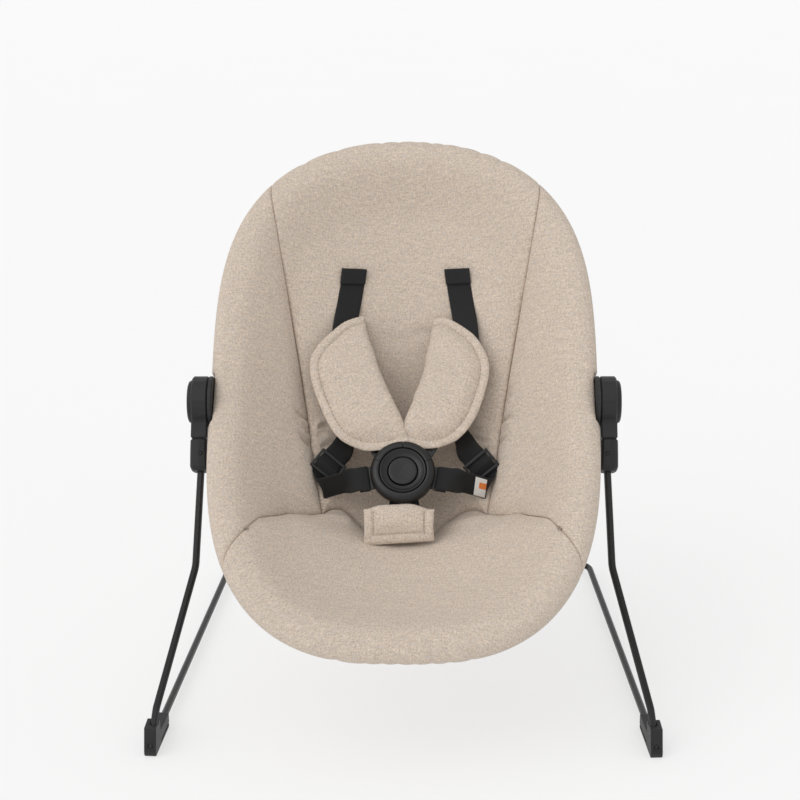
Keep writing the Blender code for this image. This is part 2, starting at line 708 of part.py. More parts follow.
def make_hub(side, name, bodies):
    seat, legs, button_body = bodies
    axis = outward_axis(side)
    plate_outer = PLATE_INNER_X + PLATE_THICKNESS

    # Seat plate: a disc, and a neck that carries a bar with a spigot for each tube
    plate = turned(
        [
            (0.0, RING_HALF_WIDTH),
            (NECK_RADIUS, RING_HALF_WIDTH),
            (NECK_RADIUS, PLATE_INNER_X),
            (HUB_RADIUS - 0.0012, PLATE_INNER_X),
            (HUB_RADIUS, PLATE_INNER_X + 0.0012),
            (HUB_RADIUS, plate_outer),
            (0.0, plate_outer),
        ],
        ROUND_STEPS,
    )
    plate = add_mesh(f"{name}_hub_plate", placed(plate, axis), BLACK_PLASTIC, seat)
    for slope, sign in ((BACK_SLOPE, 1), (FRONT_SLOPE, -1)):
        spigot = turned(
            [
                (0.0, -0.0031),
                (TUBE_RADIUS, -0.0031),
                (TUBE_RADIUS, RING_BREAK - GAP),
                (TUBE_RADIUS - TUBE_WALL - GAP, RING_BREAK - GAP),
                (TUBE_RADIUS - TUBE_WALL - GAP, RING_BREAK + SPIGOT_LENGTH - 0.003),
                (TUBE_RADIUS - TUBE_WALL - 0.001, RING_BREAK + SPIGOT_LENGTH - GAP),
                (0.0, RING_BREAK + SPIGOT_LENGTH - GAP),
            ],
            12,
        )
        along = Vector((0.0, math.cos(slope), math.sin(slope))) * sign
        turn = along.to_track_quat("Z", "Y").to_matrix().to_4x4()
        place = Matrix.Translation((side * RING_HALF_WIDTH, HUB_Y, HUB_Z))
        spigot = add_mesh(f"{name}_spigot_{sign}", placed(spigot, place @ turn), BLACK_PLASTIC, seat)
        join(plate, spigot)
    screw_tip = RING_HALF_WIDTH - 0.004
    bore = prism(circle(SCREW_RADIUS + GAP, SMALL_STEPS), screw_tip - GAP, plate_outer + 0.005)
    cut(plate, add_mesh(f"{name}_plate_bore", placed(bore, axis), BLACK_PLASTIC, seat))

    # Two lock rings with inner teeth: one turns with the seat, one stays with the leg
    outer = circle((HOUSING_CAVITY_RADIUS - GAP) * math.cos(math.pi / ROUND_STEPS), ROUND_STEPS)
    teeth = tooth_outline(LOCK_ROOT_RADIUS, LOCK_ROOT_RADIUS - LOCK_TOOTH_HEIGHT, LOCK_TEETH)
    housing_inner = plate_outer + 0.0005
    seat_ring_low = plate_outer + GAP
    seat_ring_high = seat_ring_low + LOCK_RING_WIDTH
    leg_ring_high = housing_inner + HOUSING_CAVITY_DEPTH - GAP
    leg_ring_low = seat_ring_high + 0.0006
    for key, low, high, body in (
        ("seat", seat_ring_low, seat_ring_high, seat),
        ("leg", leg_ring_low, leg_ring_high, legs),
    ):
        ring = add_mesh(f"{name}_{key}_lock_ring", placed(prism(outer, low, high), axis), ZINC_STEEL, body)
        bore = placed(prism(teeth, low - 0.001, high + 0.001), axis)
        cut(ring, add_mesh(f"{name}_{key}_ring_teeth", bore, ZINC_STEEL, body))

    # Housing on the leg: a round box with an arm down to the leg socket
    lean = Matrix.Rotation(-side * LEG_LEAN, 4, "Z")
    arm = []
    tangent = math.asin(ARM_HALF_WIDTH / HUB_RADIUS)
    for i in range(ROUND_STEPS - 5):
        angle = tangent + (math.tau - 2 * tangent) * i / (ROUND_STEPS - 6)
        arm.append((HUB_RADIUS * math.cos(angle), HUB_RADIUS * math.sin(angle)))
    arm.append((ARM_LENGTH, -ARM_HALF_WIDTH))
    arm.append((ARM_LENGTH, ARM_HALF_WIDTH))
    housing_outer = housing_inner + HOUSING_DEPTH
    # In the piece's own frame local X points up at the hub for the left and down for the right side
    flip = Matrix.Rotation(0.0 if side > 0 else math.pi, 4, "Z")
    housing = placed(prism(arm, housing_inner, housing_outer), axis @ lean @ flip)
    housing = add_mesh(f"{name}_hub_housing", housing, BLACK_PLASTIC, legs)
    bevel(housing, 0.0015, 1)
    cavity_end = housing_inner + HOUSING_CAVITY_DEPTH
    cavity = prism(circle(HOUSING_CAVITY_RADIUS, ROUND_STEPS), housing_inner - 0.004, cavity_end)
    cut(housing, add_mesh(f"{name}_cavity", placed(cavity, axis), BLACK_PLASTIC, legs))
    web_outer = cavity_end + HOUSING_WEB
    recess = turned(
        [
            (0.0, housing_inner + 0.004),
            (SCREW_RADIUS + GAP, housing_inner + 0.004),
            (SCREW_RADIUS + GAP, web_outer),
            (BUTTON_RADIUS + 0.0004, web_outer),
            (BUTTON_RADIUS + 0.0004, housing_outer + 0.004),
            (0.0, housing_outer + 0.004),
        ],
        ROUND_STEPS,
    )
    cut(housing, add_mesh(f"{name}_recess", placed(recess, axis), BLACK_PLASTIC, legs))
    for index in range(3):
        angle = math.tau * index / 3
        spot = Matrix.Translation((0.0105 * math.cos(angle), 0.0105 * math.sin(angle), 0.0))
        hole = prism(circle(0.0024, 12), housing_inner + 0.006, web_outer + 0.002)
        cut(housing, add_mesh(f"{name}_hole_{index}", placed(hole, axis @ spot), BLACK_PLASTIC, legs))

    # Pivot screw, from the housing's web into the seat bar
    screw = turned(
        [
            (0.0, screw_tip),
            (SCREW_RADIUS - 0.0006, screw_tip),
            (SCREW_RADIUS, screw_tip + 0.0008),
            (SCREW_RADIUS, web_outer + GAP),
            (SCREW_HEAD_RADIUS, web_outer + GAP),
            (SCREW_HEAD_RADIUS - 0.0006, web_outer + GAP + SCREW_HEAD_HEIGHT),
            (0.0, web_outer + GAP + SCREW_HEAD_HEIGHT),
        ],
        SMALL_STEPS,
    )
    add_mesh(f"{name}_pivot_screw", placed(screw, axis), ZINC_STEEL, seat)

    # Lock gear: it bridges both rings until the button drives it inward
    gear_high = seat_ring_high + BUTTON_TRAVEL + GEAR_RELEASE
    gear_low = gear_high - GEAR_WIDTH
    tip = LOCK_ROOT_RADIUS - GAP * 1.5
    gear = prism(tooth_outline(tip, tip - LOCK_TOOTH_HEIGHT, LOCK_TEETH), gear_low, gear_high)
    gear = add_mesh(f"{name}_lock_gear", placed(gear, axis), GREY_NYLON, button_body)
    pocket = turned(
        [
            (0.0, gear_low - 0.002),
            (0.0085, gear_low - 0.002),
            (0.0085, gear_low + 0.0022),
            (SCREW_RADIUS + GAP * 2, gear_low + 0.0022),
            (SCREW_RADIUS + GAP * 2, gear_high + 0.002),
            (0.0, gear_high + 0.002),
        ],
        SMALL_STEPS,
    )
    cut(gear, add_mesh(f"{name}_spring_pocket", placed(pocket, axis), GREY_NYLON, button_body))

    # Lock spring between the seat plate and the gear's pocket
    spring_low = plate_outer + GAP
    spring_high = gear_low + 0.0022 - GAP
    spring_wire = 0.0004
    turns = 2.5
    coil = []
    for i in range(int(turns * COIL_STEPS) + 1):
        angle = math.tau * i / COIL_STEPS
        share = i / (turns * COIL_STEPS)
        height = spring_low + spring_wire + (spring_high - spring_low - 2 * spring_wire) * share
        coil.append(axis @ Vector((0.0065 * math.cos(angle), 0.0065 * math.sin(angle), height)))
    wire(f"{name}_lock_spring", coil, spring_wire, ZINC_STEEL, seat, 0)

    # Push button, with three legs that reach through the web to the gear
    cap_low = housing_outer - 0.0012
    cap_high = housing_outer + BUTTON_PROUD
    button = turned(
        [
            (0.0, cap_low + 0.0024),
            (SCREW_HEAD_RADIUS + 0.0012, cap_low + 0.0024),
            (SCREW_HEAD_RADIUS + 0.0012, cap_low),
            (BUTTON_RADIUS, cap_low),
            (BUTTON_RADIUS, cap_high - 0.0024),
            (BUTTON_RADIUS - 0.0009, cap_high - 0.0008),
            (BUTTON_RADIUS - 0.0028, cap_high),
            (0.0, cap_high),
        ],
        ROUND_STEPS,
    )
    button = add_mesh(f"{name}_release_button", placed(button, axis), BLACK_PLASTIC, button_body)
    for index in range(3):
        angle = math.tau * index / 3
        spot = Matrix.Translation((0.0105 * math.cos(angle), 0.0105 * math.sin(angle), 0.0))
        leg = prism(circle(0.0020, 10), gear_high + GAP, cap_low + 0.001)
        leg = add_mesh(f"{name}_button_leg_{index}", placed(leg, axis @ spot), BLACK_PLASTIC, button_body)
        join(button, leg)


def leg_place(x, down):
    return Vector((x, HUB_Y - down * math.sin(LEG_LEAN), HUB_Z - down * math.cos(LEG_LEAN)))


def make_leg(side, name, body):
    socket_top = ARM_LENGTH + GAP
    socket_end = socket_top + SOCKET_LENGTH
    slant = (LEG_BEND_X - LEG_TOP_X) / (LEG_BEND_DOWN - socket_end)
    wire_top = socket_top + 0.006

    def straight(down):
        return side * (LEG_TOP_X + (down - socket_end) * slant)

    # Plastic socket below the hub's arm, with a rounded lower end
    sections = (
        (socket_top, 0.0079, ARM_HALF_WIDTH - 0.0008, 0.0),
        (socket_top + 0.0012, 0.0087, ARM_HALF_WIDTH, 0.0),
        (socket_top + 0.016, 0.0090, SOCKET_HALF_DEPTH + 0.0004, 0.3),
        (socket_end - 0.004, SOCKET_HALF_X, SOCKET_HALF_DEPTH, 0.9),
        (socket_end - 0.001, SOCKET_HALF_X - 0.0012, SOCKET_HALF_DEPTH - 0.0016, 1.0),
        (socket_end, SOCKET_HALF_X - 0.0030, SOCKET_HALF_DEPTH - 0.0036, 1.0),
    )
    loops = []
    for down, half_x, half_depth, drift in sections:
        centre = leg_place(0.0, down)
        ahead = Vector((0.0, -math.cos(LEG_LEAN), math.sin(LEG_LEAN)))
        middle = SOCKET_TOP_X + (LEG_TOP_X + 0.0005 - SOCKET_TOP_X) * drift
        loop = []
        for i in range(16):
            angle = math.tau * i / 16
            u = math.copysign(abs(math.cos(angle)) ** 0.55, math.cos(angle)) * half_x
            v = math.copysign(abs(math.sin(angle)) ** 0.55, math.sin(angle)) * half_depth
            loop.append(centre + Vector((side * middle + u, 0.0, 0.0)) + ahead * v)
        loops.append(loop)
    socket = add_mesh(f"{name}_leg_socket", loft(loops), BLACK_PLASTIC, body)
    start = leg_place(straight(wire_top - GAP), wire_top - GAP)
    end = leg_place(straight(socket_end + 0.01), socket_end + 0.01)
    turn = (end - start).to_track_quat("Z", "Y").to_matrix().to_4x4()
    bore = prism(circle(WIRE_RADIUS + GAP, 16), 0.0, (end - start).length)
    bore = placed(bore, Matrix.Translation(start) @ turn)
    cut(socket, add_mesh(f"{name}_socket_bore", bore, BLACK_PLASTIC, body))

    # Snap pin that locks the wire in the socket, seen from the front as a small pip
    ahead = Vector((0.0, -math.cos(LEG_LEAN), math.sin(LEG_LEAN)))
    pin_down = socket_top + 0.014
    pin_start = leg_place(straight(pin_down), pin_down) + ahead * (WIRE_RADIUS + GAP)
    turn = ahead.to_track_quat("Z", "Y").to_matrix().to_4x4()
    place = Matrix.Translation(pin_start) @ turn
    reach = SOCKET_HALF_DEPTH + 0.0012 - WIRE_RADIUS
    pin = turned([(0.0, 0.0), (0.0018, 0.0), (0.0018, reach - 0.0008), (0.0010, reach), (0.0, reach)], 12)
    add_mesh(f"{name}_socket_pin", placed(pin, place), BLACK_PLASTIC, body)
    hole = placed(prism(circle(0.0018 + GAP, 12), -0.002, reach + 0.004), place)
    cut(socket, add_mesh(f"{name}_pin_hole", hole, BLACK_PLASTIC, body))

    # Spring steel leg wire
    corners = [
        leg_place(straight(wire_top), wire_top),
        leg_place(side * LEG_BEND_X, LEG_BEND_DOWN),
        leg_place(side * LEG_KINK_X, LEG_KINK_DOWN),
        leg_place(side * LEG_END_X, LEG_END_DOWN + WIRE_RADIUS * 0.6),
    ]
    wire(f"{name}_leg_wire", rounded_path(corners, (0.045, 0.030)), WIRE_RADIUS, BLACK_STEEL, body)


def rail_yaw():
    """How far each rail of the base turns in towards the rear."""
    end = leg_place(LEG_END_X, LEG_END_DOWN)
    return math.atan2(LEG_END_X - REAR_HALF_WIDTH, REAR_BAR_Y - end.y)


def foot_matrix(side):
    """A foot's own frame, from below the leg wire's end: X runs back along the rail and Z up."""
    end = leg_place(side * LEG_END_X, LEG_END_DOWN)
    angle = math.pi / 2 + side * rail_yaw()
    return Matrix.Translation((end.x, end.y, 0.0)) @ Matrix.Rotation(angle, 4, "Z")


def make_base(body):
    corners = []
    for side in (-1, 1):
        inner = foot_matrix(side) @ Vector((RAIL_INSET, 0.0, RAIL_HEIGHT))
        rear = Vector((side * REAR_HALF_WIDTH, REAR_BAR_Y, RAIL_HEIGHT))
        corners += [inner, rear] if side < 0 else [rear, inner]
    path = rounded_path(corners, (REAR_BEND_RADIUS, REAR_BEND_RADIUS), 8)
    wire("base_wire", path, WIRE_RADIUS, BLACK_STEEL, body)
    for side, name in ((-1, "left"), (1, "right")):
        make_foot(side, name, body)
        spot = side * (REAR_HALF_WIDTH - PAD_OFFSET)
        outline = [
            (-PAD_WIDTH / 2, 0.0),
            (PAD_WIDTH / 2, 0.0),
            (PAD_WIDTH / 2 - 0.001, RAIL_HEIGHT * 0.8),
            (PAD_WIDTH / 2 - 0.004, RAIL_HEIGHT + WIRE_RADIUS + 0.002),
            (-PAD_WIDTH / 2 + 0.004, RAIL_HEIGHT + WIRE_RADIUS + 0.002),
            (-PAD_WIDTH / 2 + 0.001, RAIL_HEIGHT * 0.8),
        ]
        to_bar = Matrix(((0, 0, 1, spot), (1, 0, 0, REAR_BAR_Y), (0, 1, 0, 0), (0, 0, 0, 1)))
        pad = placed(prism(outline, -PAD_LENGTH / 2, PAD_LENGTH / 2), to_bar)
        pad = add_mesh(f"{name}_rear_pad", pad, RUBBER, body)
        bevel(pad, 0.0008, 1)
        shift = Matrix.Translation((0.0, RAIL_HEIGHT, 0.0))
        bore = prism(circle(WIRE_RADIUS + GAP, 16), -PAD_LENGTH, PAD_LENGTH)
        cut(pad, add_mesh(f"{name}_pad_bore", placed(bore, to_bar @ shift), RUBBER, body))


def make_foot(side, name, body):
    """A V of plastic: an upright arm takes the leg wire, and a low arm takes the rail."""
    back = FOOT_LENGTH - FOOT_NOSE
    outline = [
        (-FOOT_NOSE + 0.0015, 0.0),
        (back - 0.002, 0.0),
        (back, 0.003),
        (back, FOOT_TOE_HEIGHT - 0.001),
        (back - 0.001, FOOT_TOE_HEIGHT),
        (FOOT_BRACE_END, FOOT_TOE_HEIGHT),
        (FOOT_ARM_DEPTH + 0.0005, FOOT_ARM_HEIGHT - 0.001),
        (FOOT_ARM_DEPTH, FOOT_ARM_HEIGHT),
        (0.0000, FOOT_ARM_HEIGHT - 0.002),
        (-FOOT_NOSE, 0.004),
    ]
    upright = Matrix(((1, 0, 0, 0), (0, 0, -1, 0), (0, 1, 0, 0), (0, 0, 0, 1)))
    frame = foot_matrix(side)
    foot = placed(prism(outline, -FOOT_WIDTH / 2, FOOT_WIDTH / 2), frame @ upright)
    foot = add_mesh(f"{name}_front_foot", foot, BLACK_PLASTIC, body)
    bevel(foot, 0.0009, 1)
    # Recesses beside the web that braces the two arms
    pocket = [
        (FOOT_ARM_DEPTH + 0.0025, FOOT_TOE_HEIGHT + 0.0002),
        (FOOT_BRACE_END + 0.004, FOOT_TOE_HEIGHT + 0.0002),
        (FOOT_ARM_DEPTH + 0.004, FOOT_ARM_HEIGHT + 0.004),
    ]
    for end, index in ((FOOT_WIDTH, 0), (-FOOT_WIDTH, 1)):
        low, high = sorted((math.copysign(0.0022, end), end))
        bm = placed(prism(pocket, low, high), frame @ upright)
        cut(foot, add_mesh(f"{name}_foot_pocket_{index}", bm, BLACK_PLASTIC, body))
    # Shadow slot above the lip on the inner side
    inner_y = side * FOOT_WIDTH / 2
    low, high = sorted((-(inner_y - side * 0.0012), -(inner_y + side * 0.004)))
    slot = [(0.020, 0.0030), (back + 0.01, 0.0030), (back + 0.01, 0.0048), (0.020, 0.0048)]
    bm = placed(prism(slot, low, high), frame @ upright)
    cut(foot, add_mesh(f"{name}_foot_slot", bm, BLACK_PLASTIC, body))
    # Bore for the rail
    bore = prism(circle(WIRE_RADIUS + GAP, 16), RAIL_INSET - GAP, back + 0.02)
    lay = Matrix(((0, 0, 1, 0), (0, 1, 0, 0), (-1, 0, 0, RAIL_HEIGHT), (0, 0, 0, 1)))
    cut(foot, add_mesh(f"{name}_rail_bore", placed(bore, frame @ lay), BLACK_PLASTIC, body))
    # Pocket for the leg wire's end, wider fore and aft at its mouth so that the leg can flex
    end = leg_place(side * LEG_END_X, LEG_END_DOWN + WIRE_RADIUS * 0.6)
    above = leg_place(side * LEG_KINK_X, LEG_KINK_DOWN)
    up = (above - end).normalized()
    across = Vector((1.0, 0.0, 0.0))
    across = (across - up * across.dot(up)).normalized()
    ahead = up.cross(across)
    if ahead.y > 0:
        ahead.negate()
    loops = []
    for height, front, rear in ((-GAP, 0.0006, 0.0006), (FOOT_POCKET_REACH, 0.0024, 0.0046)):
        loop = []
        for i in range(16):
            angle = math.tau * i / 16
            u = math.cos(angle) * (WIRE_RADIUS + GAP)
            v = math.sin(angle) * (WIRE_RADIUS + GAP)
            v += front if math.sin(angle) > 1e-6 else 0.0
            v -= rear if math.sin(angle) < -1e-6 else 0.0
            loop.append(end + up * height + across * u + ahead * v)
        loops.append(loop)
    cut(foot, add_mesh(f"{name}_leg_pocket", loft(loops), BLACK_PLASTIC, body))


def smooth_route(points, count):
    """Even steps along a smooth curve through the points."""
    points = [Vector(p) for p in points]
    padded = [2 * points[0] - points[1]] + points + [2 * points[-1] - points[-2]]
    dense = []
    for a, b, c, d in zip(padded, padded[1:], padded[2:], padded[3:]):
        for i in range(12):
            u = i / 12
            bend = (2 * a - 5 * b + 4 * c - d) * u**2 + (3 * b - a - 3 * c + d) * u**3
            dense.append(0.5 * (2 * b + (c - a) * u + bend))
    dense.append(points[-1])
    return [Vector(p) for p in resample(dense, count)]


def strap_stations(points, first_normal, last_normal, width):
    """Stations of a strap along a route: its face turns evenly from the first normal to the last."""
    stations = []
    for index, point in enumerate(points):
        before = points[max(index - 1, 0)]
        after = points[min(index + 1, len(points) - 1)]
        tangent = (after - before).normalized()
        share = index / (len(points) - 1)
        normal = (Vector(first_normal) * (1 - share) + Vector(last_normal) * share).normalized()
        across = normal.cross(tangent).normalized()
        stations.append((point, across * (width / 2), tangent.cross(across)))
    return stations


def buckle_matrix():
    """The buckle's own frame: X across, Y up its face and Z out of it."""
    normal = Vector((0.0, -math.cos(BUCKLE_TILT), math.sin(BUCKLE_TILT)))
    across = Vector((1.0, 0.0, 0.0))
    turn = Matrix((across, normal.cross(across), normal)).transposed().to_4x4()
    return Matrix.Translation((0.0, BUCKLE_Y, BUCKLE_Z)) @ turn


def lug_matrix(angle, out):
    """A frame at the buckle's centre with X outward along a lug at this angle, and Z out of the face."""
    return buckle_matrix() @ Matrix.Rotation(angle, 4, "Z") @ Matrix.Translation((0.0, 0.0, out))


def lug_outline(root, tip, spare=0.0):
    half = WEBBING_WIDTH / 2 + 0.004 + spare
    outline = [(root, -half * 0.8), (tip - 0.002, -half), (tip, -half + 0.002)]
    return outline + [(u, -v) for u, v in reversed(outline)]


def lug_slot(tip):
    half = WEBBING_WIDTH / 2 + 0.0008
    return [(tip - 0.0095, -half), (tip - 0.0040, -half), (tip - 0.0040, half), (tip - 0.0095, half)]


def loop_stations(frame, tip):
    """A strap's end, sewn round the bar of a lug: from its approach over the face to its tail behind."""
    lift = LUG_THICKNESS / 2 + GAP * 2 + WEBBING_THICKNESS / 2
    bar = tip - 0.0020
    slot = bar - 0.0020 - GAP * 2 - WEBBING_THICKNESS / 2
    profile = ((bar + 0.004, lift, 90), (bar, lift, 90))
    profile += ((slot + 0.0012, lift - 0.0003, 120), (slot, lift * 0.45, 160))
    half = WEBBING_WIDTH / 2
    stations = []
    for x, z, angle in profile + tuple((x, -z, 360 - angle) for x, z, angle in reversed(profile)):
        normal = Vector((math.cos(math.radians(angle)), 0.0, math.sin(math.radians(angle))))
        turn = frame.to_3x3()
        stations.append((frame @ Vector((x, 0.0, z)), turn @ Vector((0.0, half, 0.0)), turn @ normal))
    return stations


def loft(loops):
    """A closed solid through loops of points, with flat ends."""
    bm = bmesh.new()
    rings = [[bm.verts.new(p) for p in loop] for loop in loops]
    for a, b in zip(rings, rings[1:]):
        for i in range(len(a)):
            k = (i + 1) % len(a)
            bm.faces.new((a[i], a[k], b[k], b[i]))
    bm.faces.new(rings[0])
    bm.faces.new(rings[-1])
    return bm


def ring_sector(start, end, inner, outer, steps, bottom=-GAP):
    """Rounded cross-sections of the buckle's rim between two angles."""
    top = BUCKLE_FRONT
    section = [
        (inner, bottom),
        (outer - 0.0006, bottom),
        (outer, bottom + 0.0006),
        (outer, top - 0.0046),
        (outer - 0.0014, top - 0.0016),
        (outer - 0.0040, top),
        (inner + 0.0016, top - 0.0002),
        (inner, top - 0.0016),
    ]
    angles = [start + (end - start) * i / steps for i in range(steps + 1)]
    return loft([[(r * math.cos(a), r * math.sin(a), z) for r, z in section] for a in angles])


def make_buckle(body, button_body):
    face = buckle_matrix()
    split = GAP / BUCKLE_RADIUS
    plate_low = -GAP * 2 - LUG_THICKNESS
    plate_high = -GAP * 2
    middle = (plate_low + plate_high) / 2

    # Rear shell, with a boss that holds the spring and a lug for the crotch strap
    boss_floor = -0.0060
    back = turned(
        [
            (0.0, -BUCKLE_BACK),
            (BUCKLE_RADIUS - 0.0060, -BUCKLE_BACK),
            (BUCKLE_RADIUS - 0.0030, -BUCKLE_BACK + 0.0018),
            (BUCKLE_RADIUS - 0.0023, plate_low - GAP),
            (0.0165, plate_low - GAP),
            (0.0165, -GAP * 2),
            (0.0095, -GAP * 2),
            (0.0095, boss_floor),
            (0.0, boss_floor),
        ],
        ROUND_STEPS,
    )
    back = add_mesh("buckle_back", placed(back, face), BLACK_PLASTIC, body)
    crotch_tip = BUCKLE_RADIUS + 0.0085
    frame = lug_matrix(-math.pi / 2, CROTCH_LUG_OUT)
    lug = prism(lug_outline(0.020, crotch_tip), -LUG_THICKNESS / 2, LUG_THICKNESS / 2)
    join(back, add_mesh("crotch_lug", placed(lug, frame), BLACK_PLASTIC, body))
    slot = prism(lug_slot(crotch_tip), -0.004, 0.004)
    cut(back, add_mesh("crotch_lug_slot", placed(slot, frame), BLACK_PLASTIC, body))

    # Front shell: the lower two thirds of the rim, and the dished ring round the button
    third = math.radians(150)
    last = math.tau + math.pi - third - split
    front = ring_sector(third + split, last, BUCKLE_INNER_RADIUS, BUCKLE_RADIUS, SMALL_STEPS)
    front = add_mesh("buckle_front", placed(front, face), BLACK_PLASTIC, body)
    dish = turned(
        [
            (BUCKLE_BUTTON_RADIUS + 0.0004, -GAP),
            (BUCKLE_INNER_RADIUS + 0.0003, -GAP),
            (BUCKLE_INNER_RADIUS + 0.0003, 0.0040),
            (BUCKLE_INNER_RADIUS - 0.0007, 0.0040),
            (BUCKLE_INNER_RADIUS - 0.0007, BUCKLE_FRONT - 0.0020),
            (BUCKLE_INNER_RADIUS - 0.0022, BUCKLE_FRONT - 0.0010),
            (BUCKLE_BUTTON_RADIUS + 0.0014, BUCKLE_FRONT - 0.0016),
            (BUCKLE_BUTTON_RADIUS + 0.0004, BUCKLE_FRONT - 0.0024),
        ],
        ROUND_STEPS,
    )
    join(front, add_mesh("buckle_dish", placed(dish, face), BLACK_PLASTIC, body))

    # Tongues: each is a sixth of the rim on a plate with lugs for the shoulder and waist straps
    for side, name in ((-1, "left"), (1, "right")):
        low = math.radians(90 if side < 0 else 30) + split
        high = math.radians(150 if side < 0 else 90) - split
        rim = ring_sector(low, high, BUCKLE_INNER_RADIUS + 0.0007, BUCKLE_RADIUS, 8, middle)
        tongue = add_mesh(f"{name}_buckle_tongue", placed(rim, face), BLACK_PLASTIC, body)
        outline = []
        for radius, order in ((BUCKLE_RADIUS - 0.0010, 1), (0.0170, -1)):
            angles = [math.radians(92 + 108 * i / 9) for i in range(10)][::order]
            outline += [(-side * radius * math.cos(a), radius * math.sin(a)) for a in angles]
        plate = placed(prism(outline, plate_low, plate_high), face)
        join(tongue, add_mesh(f"{name}_tongue_plate", plate, BLACK_PLASTIC, body))
        for key, degrees in (("shoulder", 120), ("waist", WAIST_ANGLE)):
            angle = math.radians(degrees) if side < 0 else math.pi - math.radians(degrees)
            tip = BUCKLE_RADIUS + (0.0130 if key == "shoulder" else 0.0100)
            frame = lug_matrix(angle, middle)
            thick = LUG_THICKNESS / 2 - 0.0001
            lug = prism(lug_outline(BUCKLE_RADIUS - 0.008, tip), -thick, thick)
            join(tongue, add_mesh(f"{name}_{key}_lug", placed(lug, frame), BLACK_PLASTIC, body))
            slot = prism(lug_slot(tip), -0.004, 0.004)
            cut(tongue, add_mesh(f"{name}_{key}_lug_slot", placed(slot, frame), BLACK_PLASTIC, body))

    # Release button and the spring behind it
    button_low = BUCKLE_TRAVEL - GAP
    coil_wire = 0.0005
    coil_low = boss_floor + GAP + coil_wire
    coil_high = button_low - GAP - coil_wire
    button = turned(
        [
            (0.0, button_low),
            (BUCKLE_BUTTON_RADIUS, button_low),
            (BUCKLE_BUTTON_RADIUS, BUCKLE_FRONT - 0.0012),
            (BUCKLE_BUTTON_RADIUS - 0.0010, BUCKLE_FRONT - 0.0002),
            (BUCKLE_BUTTON_RADIUS - 0.0050, BUCKLE_FRONT + 0.0006),
            (0.0, BUCKLE_FRONT + 0.0010),
        ],
        ROUND_STEPS,
    )
    add_mesh("buckle_button", placed(button, face), BLACK_PLASTIC, button_body)
    coil = []
    turns = 3
    for i in range(turns * COIL_STEPS + 1):
        angle = math.tau * i / COIL_STEPS
        height = coil_low + (coil_high - coil_low) * i / (turns * COIL_STEPS)
        coil.append(face @ Vector((0.0075 * math.cos(angle), 0.0075 * math.sin(angle), height)))
    wire("buckle_spring", coil, coil_wire, ZINC_STEEL, body, 0)


def make_strap_adjuster(name, centre, along, normal, body):
    """A three-bar slide: the strap goes under its ends and over its middle bar."""
    across = normal.cross(along).normalized()
    turn = Matrix((along, across, normal)).transposed().to_4x4()
    frame = Matrix.Translation(centre) @ turn
    half = WEBBING_WIDTH / 2 + 0.004
    reach = ADJUSTER_LENGTH / 2
    outline = [(-reach, -half + 0.002), (-reach + 0.002, -half)]
    outline += [(reach - 0.002, -half), (reach, -half + 0.002)]
    outline += [(-u, -v) for u, v in outline]
    slide = prism(outline, -ADJUSTER_THICKNESS / 2, ADJUSTER_THICKNESS / 2)
    slide = add_mesh(name, placed(slide, frame), BLACK_PLASTIC, body)
    opening = WEBBING_WIDTH / 2 + 0.0008
    for sign in (-1, 1):
        u_low, u_high = sorted((sign * ADJUSTER_BAR / 2, sign * (reach - ADJUSTER_BAR)))
        slot = [(u_low, -opening), (u_high, -opening), (u_high, opening), (u_low, opening)]
        slot = placed(prism(slot, -0.01, 0.01), frame)
        cut(slide, add_mesh(f"{name}_slot_{sign}", slot, BLACK_PLASTIC, body))


def from_hub(side, place):
    """A place on the harness, given across from the middle, and back and up from the hubs' axis."""
    return Vector((side * place[0], HUB_Y + place[1], HUB_Z + place[2]))


